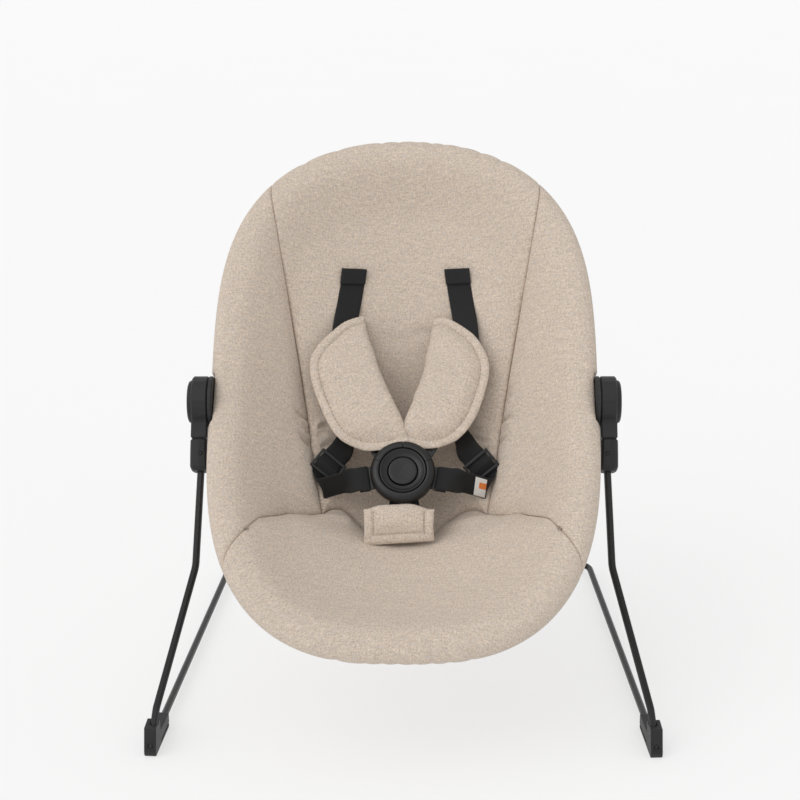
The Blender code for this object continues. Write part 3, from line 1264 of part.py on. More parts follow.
def make_harness(body):
    buckle_normal = buckle_matrix().to_3x3() @ Vector((0.0, 0.0, 1.0))
    middle = -GAP * 2 - LUG_THICKNESS / 2
    for side, name in ((-1, "left"), (1, "right")):
        # Shoulder strap: from behind the seat, through its slot, down the back and round the tongue's bar
        frame = seat_matrix(side * SHOULDER_X, SHOULDER_T)
        back_normal = seat_normal(side * SHOULDER_X, SHOULDER_T)
        turn = frame.to_3x3()
        half = turn @ Vector((WEBBING_WIDTH / 2, 0.0, 0.0))
        lie = STRAP_LIE
        threaded = []
        for v, w, angle in ((0.0, -0.021, 0), (0.0, -0.003, 0), (0.0, 0.0, 12), (-0.0010, lie - 0.0006, 50)):
            normal = Vector((0.0, math.cos(math.radians(angle)), math.sin(math.radians(angle))))
            threaded.append((frame @ Vector((0.0, v, w)), half, turn @ normal))
        lug = lug_matrix(math.radians(120) if side < 0 else math.radians(60), middle)
        loop = loop_stations(lug, BUCKLE_RADIUS + 0.0130)
        route = [
            frame @ Vector((0.0, -0.0040, lie)),
            seat_matrix(side * (SHOULDER_X + 0.0020), SHOULDER_T - 0.0175, lie) @ Vector(),
            seat_matrix(side * (SHOULDER_X + 0.0055), SHOULDER_T - 0.0375, lie + 0.0010) @ Vector(),
            *(from_hub(side, place) for place in SHOULDER_DRAPE),
            loop[0][0],
        ]
        points = smooth_route(route, 26)
        run = strap_stations(points, back_normal, buckle_normal, WEBBING_WIDTH)
        run = [(c, h * (1 if h.x > 0 else -1), n) for c, h, n in run]
        loop = [(c, h * (1 if h.x > 0 else -1), n) for c, h, n in loop]
        strap = ribbon(threaded + run[:-1] + loop, WEBBING_THICKNESS)
        add_mesh(f"{name}_shoulder_strap", strap, WEBBING, body)

        # Slide behind the seat that stops the strap, and the sewn tab over it in front
        plate = prism([(-0.018, -0.007), (0.018, -0.007), (0.018, 0.007), (-0.018, 0.007)], -0.0165, -0.0140)
        plate = add_mesh(f"{name}_strap_stop", placed(plate, frame), BLACK_PLASTIC, body)
        opening = WEBBING_WIDTH / 2 + 0.0005
        hole = [(-opening, -0.0012), (opening, -0.0012), (opening, 0.0012), (-opening, 0.0012)]
        hole = placed(prism(hole, -0.03, 0.0), frame)
        cut(plate, add_mesh(f"{name}_stop_slot", hole, BLACK_PLASTIC, body))
        tab = []
        wide = turn @ Vector((WEBBING_WIDTH / 2 + 0.0010, 0.0, 0.0))
        over = lie + WEBBING_THICKNESS + GAP
        for v, w in ((0.0010, over + 0.0006), (-0.0030, over + 0.0002), (-0.0080, over), (-0.0135, over)):
            tab.append((frame @ Vector((side * max(-v, 0) * 0.11, v, w)), wide, back_normal))
        add_mesh(f"{name}_strap_tab", ribbon(tab, WEBBING_THICKNESS), WEBBING, body)

        # Shoulder pad: a padded sleeve round the strap, down over the tongue's lug
        turn = lug.to_3x3()
        level = turn @ Vector((0.0, WEBBING_WIDTH / 2, 0.0))
        level *= math.copysign(1.0, level.x)
        facing = turn @ Vector((0.0, 0.0, 1.0))
        ending = [(lug @ Vector((out, 0.0, rise)), level, facing) for out, rise in PAD_END]
        top, half, normal = run[PAD_FIRST]
        top = top.lerp(run[PAD_FIRST + 1][0], PAD_TOP_INSET)
        middle_line = [(top, half, normal)] + run[PAD_FIRST + 2 : -2 : 2] + ending
        loops = []
        for index, (centre, half, normal) in enumerate(middle_line):
            share = index / (len(middle_line) - 1)
            wide = smooth_curve(PAD_WIDTHS, share)
            thick = PAD_THICKNESS / 2 * smooth_curve(PAD_FULLNESS, share)
            section = []
            for i in range(12):
                angle = math.tau * i / 12
                u = math.copysign(abs(math.cos(angle)) ** 0.7, math.cos(angle)) * wide
                v = math.copysign(abs(math.sin(angle)) ** 0.7, math.sin(angle)) * thick
                drift = side * PAD_DRIFT * math.sin(math.pi * share)
                aside = half.normalized() * (u + drift)
                section.append(centre + aside + normal.normalized() * (v + PAD_LIFT))
            loops.append(section)
        pad = add_mesh(f"{name}_shoulder_pad", loft(loops), LINEN, body, crease=60)
        channel = [(c, h * 1.04, n) for c, h, n in run[PAD_FIRST - 3 :]]
        channel.append(loop[1])
        tunnel = ribbon(channel, WEBBING_THICKNESS + 0.0010)
        cut(pad, add_mesh(f"{name}_pad_channel", tunnel, LINEN, body))
        outline = lug_outline(BUCKLE_RADIUS - 0.012, BUCKLE_RADIUS + 0.0155, 0.0008)
        pocket = prism(outline, -LUG_POCKET / 2, LUG_POCKET / 2)
        cut(pad, add_mesh(f"{name}_pad_pocket", placed(pocket, lug), LINEN, body))

        # Waist strap: from the tongue out to the hip, folded there, and back up through its slide
        angle = math.radians(WAIST_ANGLE)
        lug = lug_matrix(angle if side < 0 else math.pi - angle, middle)
        loop = loop_stations(lug, BUCKLE_RADIUS + 0.0100)
        loop = [(c, h * (1 if h.z > 0 else -1), n) for c, h, n in loop]
        fold = from_hub(side, WAIST_FOLD)
        route = smooth_route([loop[0][0], from_hub(side, WAIST_MIDDLE), fold], 6)
        across = Vector((side * 0.10, -0.25, 1.0)).normalized() * (WEBBING_WIDTH / 2)
        run = [(p, across, Vector((0.0, -1.0, -0.25))) for p in route[1:-1]]
        slide_at = from_hub(side, SLIDE_PLACE)
        along = Vector((-side * 0.62, 0.26, 0.70)).normalized()
        slide_normal = Vector((0.0, -0.94, 0.34))
        slide_normal = (slide_normal - along * slide_normal.dot(along)).normalized()
        slide_across = slide_normal.cross(along).normalized()
        if slide_across.z < 0:
            slide_across.negate()
        crease = (across.normalized() + slide_across).normalized()
        crease = crease * (WEBBING_WIDTH / 2 / abs(crease.dot(across.normalized())))
        out = Vector((side * 0.8, 0.0, -0.6))
        fold_normal = Vector((0.0, -0.97, 0.20))
        outer_edge = fold - fold_normal * (WEBBING_THICKNESS / 2 + GAP) - out * 0.001
        make_strap_adjuster(f"{name}_strap_adjuster", slide_at, along, slide_normal, body)
        bar = ADJUSTER_BAR / 2
        drop = ADJUSTER_THICKNESS / 2 + GAP + WEBBING_THICKNESS / 2
        reach = ADJUSTER_LENGTH / 2
        weave = [(-reach - 0.002, -drop), (-reach + ADJUSTER_BAR, -drop)]
        weave += [(-bar - 0.0006, drop), (0.0, drop + 0.0002), (bar + 0.0006, drop)]
        weave += [(reach - ADJUSTER_BAR, -drop), (reach + 0.002, -drop), (reach + 0.012, -drop - 0.002)]
        wound = []
        for u, w in weave:
            place = slide_at + along * u + slide_normal * w
            wound.append((place, slide_across * (WEBBING_WIDTH / 2), -slide_normal))
        folded = [(outer_edge, crease, fold_normal)]
        strap = ribbon(list(reversed(loop)) + run + folded + wound, WEBBING_THICKNESS)
        add_mesh(f"{name}_waist_strap", strap, WEBBING, body)
        if side > 0:
            # Bare sewn tag on the strap's face
            lift = WEBBING_THICKNESS / 2 + GAP + TAG_THICKNESS / 2
            face = Vector((0.0, -1.0, -0.25)).normalized() * lift
            tag = [(centre + face, half * TAG_SHARE, normal) for centre, half, normal in run[-3:]]
            add_mesh("strap_tag", ribbon(tag, TAG_THICKNESS), LABEL, body)

    # Crotch strap: up through the front pad and round the bar of the buckle's rear shell
    frame = seat_matrix(0.0, CROTCH_T)
    lug = lug_matrix(-math.pi / 2, CROTCH_LUG_OUT)
    loop = loop_stations(lug, BUCKLE_RADIUS + 0.0085)
    half = Vector((WEBBING_WIDTH / 2, 0.0, 0.0))
    route = [
        frame @ Vector((0.0, 0.0, -0.022)),
        frame @ Vector((0.0, 0.0, -0.010)),
        frame @ Vector((0.0, 0.0, 0.002)),
        frame @ Vector((0.0, 0.0040, 0.012)),
        loop[0][0],
    ]
    stations = []
    points = smooth_route(route, 9)
    for index, point in enumerate(points[:-1]):
        tangent = points[index + 1] - points[max(index - 1, 0)]
        stations.append((point, half, Vector((1.0, 0.0, 0.0)).cross(tangent)))
    loop = [(c, half, n) for c, h, n in loop]
    add_mesh("crotch_strap", ribbon(stations + loop, WEBBING_THICKNESS), WEBBING, body)

    # Padded sleeve over the crotch strap and the buckle's lug
    top_middle = lug @ Vector((BUCKLE_RADIUS + 0.0008, 0.0, SLEEVE_LIFT))
    bend = lug @ Vector((BUCKLE_RADIUS + 0.0125, 0.0, SLEEVE_LIFT))
    low_middle = frame @ Vector((0.0, 0.0015, SLEEVE_FOOT))
    route = [top_middle, (top_middle + bend) / 2, bend, (bend + low_middle) / 2, low_middle]
    middle_line = smooth_route(route, 8)
    loops = []
    for index, centre in enumerate(middle_line):
        tangent = middle_line[min(index + 1, 7)] - middle_line[max(index - 1, 0)]
        out = tangent.cross(Vector((1.0, 0.0, 0.0))).normalized()
        section = []
        for i in range(16):
            angle = math.tau * i / 16
            u = math.copysign(abs(math.cos(angle)) ** 0.4, math.cos(angle)) * SLEEVE_WIDTH / 2
            v = math.copysign(abs(math.sin(angle)) ** 0.7, math.sin(angle)) * SLEEVE_THICKNESS / 2
            section.append(centre + Vector((u, 0.0, 0.0)) + out * v)
        loops.append(section)
    sleeve = add_mesh("crotch_sleeve", loft(loops), LINEN, body, crease=60)
    channel = [(c, h * 1.08, n) for c, h, n in stations] + [(c, h * 1.08, n) for c, h, n in loop[:2]]
    cut(sleeve, add_mesh("sleeve_channel", ribbon(channel, WEBBING_THICKNESS + 0.0010), LINEN, body))
    pocket = prism(lug_outline(0.016, BUCKLE_RADIUS + 0.0105, 0.0008), -LUG_POCKET / 2, LUG_POCKET / 2)
    cut(sleeve, add_mesh("sleeve_pocket", placed(pocket, lug), LINEN, body))


def centre_on_floor(root):
    """Moves the whole model so that its origin is the middle of its footprint, on the floor."""
    bpy.context.view_layer.update()
    graph = bpy.context.evaluated_depsgraph_get()
    low = Vector((1e9, 1e9, 1e9))
    high = -low
    for obj in bpy.context.scene.objects:
        if obj.type not in ("MESH", "CURVE") or obj.hide_render:
            continue
        seen = obj.evaluated_get(graph)
        mesh = seen.to_mesh()
        for vertex in mesh.vertices:
            place = seen.matrix_world @ vertex.co
            low = Vector(map(min, low, place))
            high = Vector(map(max, high, place))
        seen.to_mesh_clear()
    root.location = (-(low.x + high.x) / 2, -(low.y + high.y) / 2, -low.z)
    bpy.context.view_layer.update()
    return high - low


def main():
    clear_scene()
    leg_end = leg_place(0.0, LEG_END_DOWN)
    root = make_body("bouncer", (0.0, 0.0, 0.0))
    base = make_body("base", (0.0, 0.0, 0.0))
    ride(base, root)
    legs = make_body("legs", leg_end)
    ride(legs, base)
    seat = make_body("seat", (0.0, HUB_Y, HUB_Z))
    ride(seat, legs)
    make_base(base)
    for side, name in ((-1, "left"), (1, "right")):
        make_leg(side, name, legs)
        button = make_body(f"{name}_button", (side * (PLATE_INNER_X + HOUSING_DEPTH), HUB_Y, HUB_Z))
        ride(button, legs)
        make_hub(side, name, (seat, legs, button))
    make_frame_tubes(seat)
    make_cover(seat)
    button = make_body("buckle_release", (0.0, BUCKLE_Y, BUCKLE_Z))
    ride(button, seat)
    make_buckle(seat, button)
    make_harness(seat)
    size = centre_on_floor(root)
    print("size", tuple(round(v, 4) for v in size))
    for body in (base, legs, seat):
        print(body.name, tuple(round(v, 5) for v in body.matrix_world.translation))


main()
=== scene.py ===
"""Baby bouncer seat in beige linen cloth, on black wire legs with round side hubs.

The script follows the seat as it is put together: the stand, the hubs, the padded cover, the harness.
All sizes are in metres, +Z is up and -Y is the front of the seat.
"""

import json
import math

import bmesh
import bpy
import numpy as np
from mathutils import Matrix, Vector


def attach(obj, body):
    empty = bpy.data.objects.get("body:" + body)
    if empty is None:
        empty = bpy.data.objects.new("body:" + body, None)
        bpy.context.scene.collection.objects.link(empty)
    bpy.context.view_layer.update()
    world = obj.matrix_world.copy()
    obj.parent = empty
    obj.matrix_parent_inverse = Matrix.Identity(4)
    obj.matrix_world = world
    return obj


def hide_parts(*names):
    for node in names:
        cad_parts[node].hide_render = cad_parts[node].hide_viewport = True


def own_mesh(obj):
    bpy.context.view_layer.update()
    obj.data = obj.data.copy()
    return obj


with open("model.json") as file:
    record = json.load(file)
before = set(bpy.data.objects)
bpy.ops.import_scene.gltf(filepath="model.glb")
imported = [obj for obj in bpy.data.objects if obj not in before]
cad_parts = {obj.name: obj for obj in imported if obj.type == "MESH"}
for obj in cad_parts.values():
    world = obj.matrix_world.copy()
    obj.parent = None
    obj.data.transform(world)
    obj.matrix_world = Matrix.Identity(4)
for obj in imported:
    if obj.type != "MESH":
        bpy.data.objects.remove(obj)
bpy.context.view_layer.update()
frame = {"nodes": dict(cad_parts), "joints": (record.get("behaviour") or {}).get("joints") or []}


# The studio. The camera looks down at the front of the seat from just above its top edge, a
# hair to the right of the middle. The floor is plain and pale. The light is soft and comes
# mostly from above on the left.
CAMERA_DISTANCE = 1.688
CAMERA_HEIGHT = 0.798
CAMERA_TURN = math.radians(1.0)
CAMERA_PITCH = math.radians(73.0)
CAMERA_ROLL = math.radians(-0.3)
LENS = 81.0
SENSOR = 36.0
LENS_SHIFT = -0.0060
SKY = 0.73
LAMPS = (
    # name, strength, spread in degrees, the way to it
    ("key_light", 0.70, 90.0, (-0.54, -0.48, 0.69)),
    ("key_core", 0.42, 38.0, (-0.54, -0.48, 0.69)),
    ("fill_light", 0.12, 120.0, (0.60, -0.50, 0.62)),
)
FLOOR_SIZE = 60.0
FLOOR_BELOW = 0.0002
FLOOR_TONES = (0.325, 0.335)
FLOOR_GLOW = 0.59

bpy.context.scene.view_settings.view_transform = "Standard"
lens = bpy.data.cameras.new("studio_camera")
lens.lens = LENS
lens.sensor_width = SENSOR
lens.shift_x = LENS_SHIFT
camera = bpy.data.objects.new("studio_camera", lens)
bpy.context.scene.collection.objects.link(camera)
camera.location = (CAMERA_DISTANCE * math.sin(CAMERA_TURN), -CAMERA_DISTANCE * math.cos(CAMERA_TURN),
                   CAMERA_HEIGHT)
camera.rotation_euler = (Matrix.Rotation(CAMERA_TURN, 3, "Z") @ Matrix.Rotation(CAMERA_PITCH, 3, "X")
                         @ Matrix.Rotation(CAMERA_ROLL, 3, "Z")).to_euler()
bpy.context.scene.camera = camera

world = bpy.data.worlds.new("studio")
world.use_nodes = True
background = world.node_tree.nodes["Background"]
background.inputs["Color"].default_value = (1.0, 1.0, 1.0, 1.0)
background.inputs["Strength"].default_value = SKY
bpy.context.scene.world = world

for name, strength, spread, toward in LAMPS:
    lamp = bpy.data.lights.new(name, "SUN")
    lamp.energy = strength
    lamp.angle = math.radians(spread)
    light = bpy.data.objects.new(name, lamp)
    bpy.context.scene.collection.objects.link(light)
    light.rotation_euler = Vector(toward).to_track_quat("Z", "Y").to_euler()

bpy.ops.object.select_all(action="DESELECT")
bpy.ops.mesh.primitive_plane_add(size=FLOOR_SIZE, location=(0.0, 0.0, -FLOOR_BELOW))
floor = bpy.context.object
floor.name = "studio_floor"


def node(tree, kind, inputs=(), **settings):
    """A shader node with its settings and inputs. An input is a value or another node's output."""
    made = tree.nodes.new(kind)
    for key, value in settings.items():
        setattr(made, key, value)
    for key, value in dict(inputs).items():
        if isinstance(value, bpy.types.NodeSocket):
            tree.links.new(value, made.inputs[key])
        else:
            made.inputs[key].default_value = value
    return made


def maths(tree, operation, *values):
    """A math node's result."""
    return node(tree, "ShaderNodeMath", dict(enumerate(values)), operation=operation).outputs[0]


def remap(tree, value, low=0.0, high=1.0, new_low=0.0, new_high=1.0):
    """A value moved from one range into another."""
    ends = {"Value": value, "From Min": low, "From Max": high, "To Min": new_low, "To Max": new_high}
    return node(tree, "ShaderNodeMapRange", ends).outputs[0]


def noise(tree, place, scale, detail=2.0, roughness=0.5):
    """Noise with a mean of about a half."""
    values = {"Vector": place, "Scale": scale, "Detail": detail, "Roughness": roughness}
    return node(tree, "ShaderNodeTexNoise", values).outputs["Fac"]


def blend(tree, share, first, second):
    """A colour between two others."""
    return node(tree, "ShaderNodeMix", {"Factor": share, 6: first, 7: second}, data_type="RGBA").outputs[2]


def grey(tone):
    """A grey as a colour."""
    return (tone, tone, tone, 1.0)


def finish_of(name, roughness, metallic=0.0, specular=0.5, **sockets):
    """A new material with its shader's plain values set, and its node tree and shader."""
    made = bpy.data.materials.new(name)
    made.use_nodes = True
    shader = made.node_tree.nodes["Principled BSDF"]
    shader.inputs["Roughness"].default_value = roughness
    shader.inputs["Metallic"].default_value = metallic
    shader.inputs["Specular IOR Level"].default_value = specular
    for key, value in sockets.items():
        shader.inputs[key.replace("_", " ").title()].default_value = value
    return made, made.node_tree, shader


paper, tree, shader = finish_of("pale_floor", 0.95)
mottle = noise(tree, node(tree, "ShaderNodeTexCoord").outputs["Object"], 3.0)
tree.links.new(blend(tree, mottle, *map(grey, FLOOR_TONES)), shader.inputs["Base Color"])
# The sheet is lit a little from behind as well, which keeps the shadows on it pale
shader.inputs["Emission Color"].default_value = (1.0, 1.0, 1.0, 1.0)
shader.inputs["Emission Strength"].default_value = FLOOR_GLOW
floor.data.materials.append(paper)


# The stand and the ring. Both are bent from steel rod and tube, degreased and powder coated in
# satin black. The coat lies a little thick and wavy, and is rubbed thin where parts turn.
STEEL_BLACK = (0.0078, 0.0078, 0.0082, 1.0)
STEEL_RUBBED = (0.0420, 0.0415, 0.0410, 1.0)


def dress(names, material):
    """Gives CAD nodes that stay as they are their finish."""
    for name in names:
        mesh = frame["nodes"][name].data
        mesh.materials.clear()
        mesh.materials.append(material)


def effect(name, values, outputs):
    """An empty shader group on a place, with its own values, as (tree, inlet, outlet)."""
    tree = bpy.data.node_groups.new(name, "ShaderNodeTree")
    tree.interface.new_socket("Place", in_out="INPUT", socket_type="NodeSocketVector")
    for label, value in values.items():
        tree.interface.new_socket(label, in_out="INPUT", socket_type="NodeSocketFloat").default_value = value
    for label in outputs:
        tree.interface.new_socket(label, in_out="OUTPUT", socket_type="NodeSocketFloat")
    return tree, tree.nodes.new("NodeGroupInput").outputs, tree.nodes.new("NodeGroupOutput").inputs


def placed_effect(tree, group, values):
    """The group in a material, with its own values."""
    return node(tree, "ShaderNodeGroup", values, node_tree=group).outputs


def lay_bump(tree, shader, height, depth, strength=1.0):
    """Raises the surface by a height between 0 and 1, times a depth in metres."""
    bump = node(tree, "ShaderNodeBump", {"Height": height, "Distance": depth, "Strength": strength})
    tree.links.new(bump.outputs["Normal"], shader.inputs["Normal"])


# The skin of a coated or moulded surface: a fine grain over a slow wave, and rubbed corners
skin, inlet, outlet = effect("grained_skin", {"Grain": 2500.0, "Wave": 60.0}, ("Height", "Mottle", "Rub"))
fine = noise(skin, inlet["Place"], inlet["Grain"])
slow = noise(skin, inlet["Place"], inlet["Wave"], 3.0)
skin.links.new(maths(skin, "MULTIPLY", maths(skin, "ADD", fine, slow), 0.5), outlet["Height"])
skin.links.new(slow, outlet["Mottle"])
corner = remap(skin, node(skin, "ShaderNodeNewGeometry").outputs["Pointiness"], 0.53, 0.62)
skin.links.new(maths(skin, "MULTIPLY", corner, remap(skin, fine, 0.35, 0.6)), outlet["Rub"])


def grained(name, roughness, grain, wave, depth, colours, mask="Mottle", gloss=None, **sockets):
    """A finish with the grained skin. A mask of it blends two colours, and its wave may vary the gloss."""
    made, tree, shader = finish_of(name, roughness, **sockets)
    place = node(tree, "ShaderNodeTexCoord").outputs["Object"]
    face = placed_effect(tree, skin, {"Place": place, "Grain": grain, "Wave": wave})
    tree.links.new(blend(tree, face[mask], *colours), shader.inputs["Base Color"])
    if gloss:
        tree.links.new(remap(tree, face["Mottle"], 0.0, 1.0, *gloss), shader.inputs["Roughness"])
    lay_bump(tree, shader, face["Height"], depth)
    return made


powder_coat = grained("powder_coat", 0.38, 1400.0, 90.0, 0.00012, (STEEL_BLACK, STEEL_RUBBED), "Rub",
                      (0.26, 0.38), specular=0.20, coat_weight=0.10, coat_roughness=0.18)
dress(("base_wire", "left_leg_wire", "right_leg_wire", "upper_frame_tube", "lower_frame_tube"), powder_coat)


# The hard fittings: feet, leg sockets, hub housings, seat plates and their push buttons. They
# are moulded in black nylon with a fine spark-eroded grain, a little polished at the corners.
NYLON_BLACK = (0.0118, 0.0120, 0.0124, 1.0)
NYLON_POLISHED = grey(0.0330)
SIDES = ((-1, "left"), (1, "right"))

moulded_nylon = grained("moulded_black_nylon", 0.5, 3200.0, 45.0, 0.00009, (NYLON_BLACK, NYLON_POLISHED),
                        "Rub", (0.42, 0.56), specular=0.30)
for side, name in SIDES:
    dress([f"{name}_{part}" for part in ("front_foot", "leg_socket", "socket_pin", "hub_plate", "hub_housing",
                                         "release_button", "strap_stop")], moulded_nylon)
dress(("buckle_back",), moulded_nylon)

# The rear pads are soft black rubber, duller than the nylon
rubber = grained("black_rubber", 0.85, 1800.0, 120.0, 0.00015, (grey(0.018), (0.030, 0.030, 0.029, 1.0)))
dress(("left_rear_pad", "right_rear_pad"), rubber)

# The lock gear is pale grey nylon, with the milky skin of a filled plastic
GEAR_GREYS = ((0.16, 0.16, 0.165, 1.0), (0.22, 0.22, 0.225, 1.0))
gear_nylon = grained("grey_nylon", 0.5, 900.0, 200.0, 0.00008, GEAR_GREYS)
dress(("left_lock_gear", "right_lock_gear"), gear_nylon)

# Lock rings, screws and springs are bright zinc, with the cloudy bloom of the plating bath
ZINC_GREYS = ((0.46, 0.47, 0.49, 1.0), (0.66, 0.67, 0.69, 1.0))
zinc = grained("zinc_plate", 0.3, 700.0, 260.0, 0.00005, ZINC_GREYS, "Mottle", (0.22, 0.42), metallic=1.0)
for side, name in SIDES:
    dress([f"{name}_{part}" for part in ("seat_lock_ring", "leg_lock_ring", "pivot_screw", "lock_spring")],
          zinc)
dress(("buckle_spring",), zinc)

# Each spring gets a mesh of its own. How deep its points lie along its button's push is worked out but not
# used
LOCK_TRAVEL = 0.0023
RELEASE_TRAVEL = 0.0025
RELEASE_PUSH = Vector((0.0, 0.77162, -0.63608))
for name, joint, push, travel in (
    ("left_lock_spring", "left_button_push", Vector((1.0, 0.0, 0.0)), LOCK_TRAVEL),
    ("right_lock_spring", "right_button_push", Vector((-1.0, 0.0, 0.0)), LOCK_TRAVEL),
    ("buckle_spring", "buckle_push", RELEASE_PUSH, RELEASE_TRAVEL),
):
    spring = frame["nodes"][name]
    deep = [vertex.co.dot(push) for vertex in spring.data.vertices]
    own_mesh(spring)


# The cover. Four padded panels of beige melange linen over foam: a centre panel, a wing on each
# side and a front pad. They are sewn together in narrow grooves, pulled over the steel ring and
# hemmed underneath, so the cloth puckers where the seams end and along the tight rim.
hub = Vector(next(joint for joint in frame["joints"] if joint["name"] == "recline")["pos_m"])
BACK_SLOPE = math.radians(50)
FRONT_SLOPE = math.radians(40)
RING_HALF_WIDTH = 0.1737
BACK_LENGTH = 0.2744
FRONT_LENGTH = 0.2610
BACK_CURVE = (3.8, 2.15)
FRONT_CURVE = (3.0, 2.8)
SEAT_DEPTH = (
    (-FRONT_LENGTH, 0.0), (-0.225, 0.020), (-0.180, 0.044), (-0.130, 0.070), (-0.074, 0.104), (-0.035, 0.096),
    (0.035, 0.075), (0.110, 0.053), (0.190, 0.030), (0.245, 0.013), (BACK_LENGTH, 0.0),
)
SEAM_TOP = (0.1294, 0.1939)
SEAM_HIP = (0.0800, -0.0780)
LOW_SEAM = ((0.1120, -0.0940), (0.1340, -0.1200), (0.1435, -0.1405))
WING_TOP_T = 0.2195
WING_TIP_T = -0.1640
CREASE = (
    (-0.0800, -0.0780), (-0.0710, -0.0685), (-0.0620, -0.0655), (-0.0510, -0.0720), (-0.0420, -0.0820),
    (-0.0300, -0.0930), (0.0, -0.0995), (0.0220, -0.0945), (0.0330, -0.0815), (0.0465, -0.0720),
    (0.0590, -0.0670), (0.0700, -0.0690), (0.0800, -0.0780),
)
WRAP_RADIUS = 0.0120
WRAP_INNER = 0.0091
WRAP_END = math.radians(200)
RIM_SPAN = 0.060
SEAM_SINK = 0.0080
SEAM_ROLL = 0.0032
BACKING = 0.0120
RIM_FLAT = 0.023
RING_STEPS = 1800


def ease(value):
    """From 0 to 1, slow at both ends."""
    value = np.clip(value, 0.0, 1.0)
    return value * value * (3 - 2 * value)


def smooth_through(knots):
    """A curve through (place, height) pairs that doesn't overshoot them."""
    x, y = np.array(knots, float).T
    slope = np.diff(y) / np.diff(x)
    product = slope[1:] * slope[:-1]
    total = np.where(product > 0, slope[1:] + slope[:-1], 1.0)
    tangent = np.concatenate([slope[:1], np.where(product > 0, 2 * product / total, 0.0), slope[-1:]])

    def at(value):
        value = np.clip(value, x[0], x[-1])
        k = np.clip(np.searchsorted(x, value, side="right") - 1, 0, len(x) - 2)
        width = x[k + 1] - x[k]
        u = (value - x[k]) / width
        start = (2 * u**3 - 3 * u**2 + 1) * y[k] + (u**3 - 2 * u**2 + u) * width * tangent[k]
        return start + (3 * u**2 - 2 * u**3) * y[k + 1] + (u**3 - u**2) * width * tangent[k + 1]

    return at


middle_depth = smooth_through(SEAT_DEPTH)
crease_t = smooth_through(CREASE)


def ring_width(t):
    """Half the ring's width at this height."""
    back = np.clip(t / BACK_LENGTH, 0.0, 1.0)
    front = np.clip(-t / FRONT_LENGTH, 0.0, 1.0)
    (a, b), (c, d) = BACK_CURVE, FRONT_CURVE
    return RING_HALF_WIDTH * np.where(t > 0, (1 - back**a) ** (1 / b), (1 - front**c) ** (1 / d))


def rim_place(side, t):
    """Where the ring is at this height, on one side."""
    return side * float(ring_width(t)), t


def ring_half(length, curve):
    """(x, t) points of one U of the ring, from its left end to its right end."""
    angle = math.pi * np.arange(RING_STEPS // 2 + 1) / (RING_STEPS // 2)
    t = length * np.sin(angle) ** (2 / curve[0])
    x = -RING_HALF_WIDTH * np.sign(np.cos(angle)) * np.abs(np.cos(angle)) ** (2 / curve[1])
    return np.stack([x, t], 1)


def unit(ways):
    """The same ways, one long."""
    return ways / np.maximum(np.linalg.norm(ways, axis=-1), 1e-9)[..., None]


def run_of(points):
    """How far each point lies along the line."""
    return np.concatenate([[0.0], np.cumsum(np.linalg.norm(np.diff(points, axis=0), axis=1))])


def run_along(points, shares):
    """Places at these shares of a line's length."""
    points = np.array(points, float)
    run = run_of(points)
    return np.stack([np.interp(np.array(shares) * run[-1], run, column) for column in points.T], 1)


upper_ring = ring_half(BACK_LENGTH, BACK_CURVE)
lower_ring = ring_half(-FRONT_LENGTH, FRONT_CURVE)
ring_line = run_along(np.concatenate([upper_ring, lower_ring[::-1]]), np.arange(RING_STEPS) / RING_STEPS)
ring_out = np.roll(ring_line, -1, 0) - np.roll(ring_line, 1, 0)
ring_out = unit(np.stack([-ring_out[:, 1], ring_out[:, 0]], 1))


def ring_place(x, t):
    """A place in the ring's two planes."""
    slope = np.where(t > 0, BACK_SLOPE, FRONT_SLOPE)
    return np.stack([x, hub.y + t * np.cos(slope), hub.z + t * np.sin(slope)], -1)


def ring_normal(t):
    """The way out of the ring's planes, turning smoothly at the hubs."""
    slope = FRONT_SLOPE + (BACK_SLOPE - FRONT_SLOPE) * ease((t + 0.05) / 0.10)
    return np.stack([np.zeros_like(slope), -np.sin(slope), np.cos(slope)], -1)


def seat_depth(x, t):
    """How deep the seat sags below the ring's planes."""
    width = np.maximum(ring_width(t), 1e-4)
    fall = 1 - np.minimum(np.abs(x) / width, 1.0) ** 2
    return middle_depth(t) * (fall + fall * fall) / 2


def nearest(points, line):
    """The index of the nearest point of a line, and its distance, for each point."""
    index = np.zeros(len(points), int)
    away = np.zeros(len(points))
    for start in range(0, len(points), 3000):
        part = points[start : start + 3000]
        gap = np.linalg.norm(part[:, None, :] - line[None, :, :], axis=2)
        index[start : start + 3000] = gap.argmin(1)
        away[start : start + 3000] = gap.min(1)
    return index, away


def cover_height(x, t):
    """How high the padded face and the lining lie over the ring's plane, and the way to the ring."""
    points = np.stack([x, t], -1).reshape(-1, 2)
    index, away = nearest(points, ring_line)
    inner = ring_line[index] - ring_out[index] * RIM_SPAN
    step = 0.002
    further = ring_line[index] - ring_out[index] * (RIM_SPAN + step)
    low = -seat_depth(inner[:, 0], inner[:, 1])
    rise = (low + seat_depth(further[:, 0], further[:, 1])) / step * RIM_SPAN
    u = np.clip(1 - away / RIM_SPAN, 0.0, 1.0)
    rim = (2 * u**3 - 3 * u**2 + 1) * low + (u**3 - 2 * u**2 + u) * rise + (3 * u**2 - 2 * u**3) * WRAP_RADIUS
    settle = 1 - ease((away - RIM_FLAT) / 0.040)
    plain = -seat_depth(points[:, 0], points[:, 1])
    face = np.where(away < RIM_SPAN, rim, plain) - SEAM_SINK * (1 - settle)
    lining = plain - BACKING * (1 - settle) - 0.0015 * settle
    lining = lining + (WRAP_INNER - lining) * (1 - ease(away / RIM_FLAT))
    return [values.reshape(x.shape) for values in (face, np.minimum(face - 0.0008, lining), away, settle)]


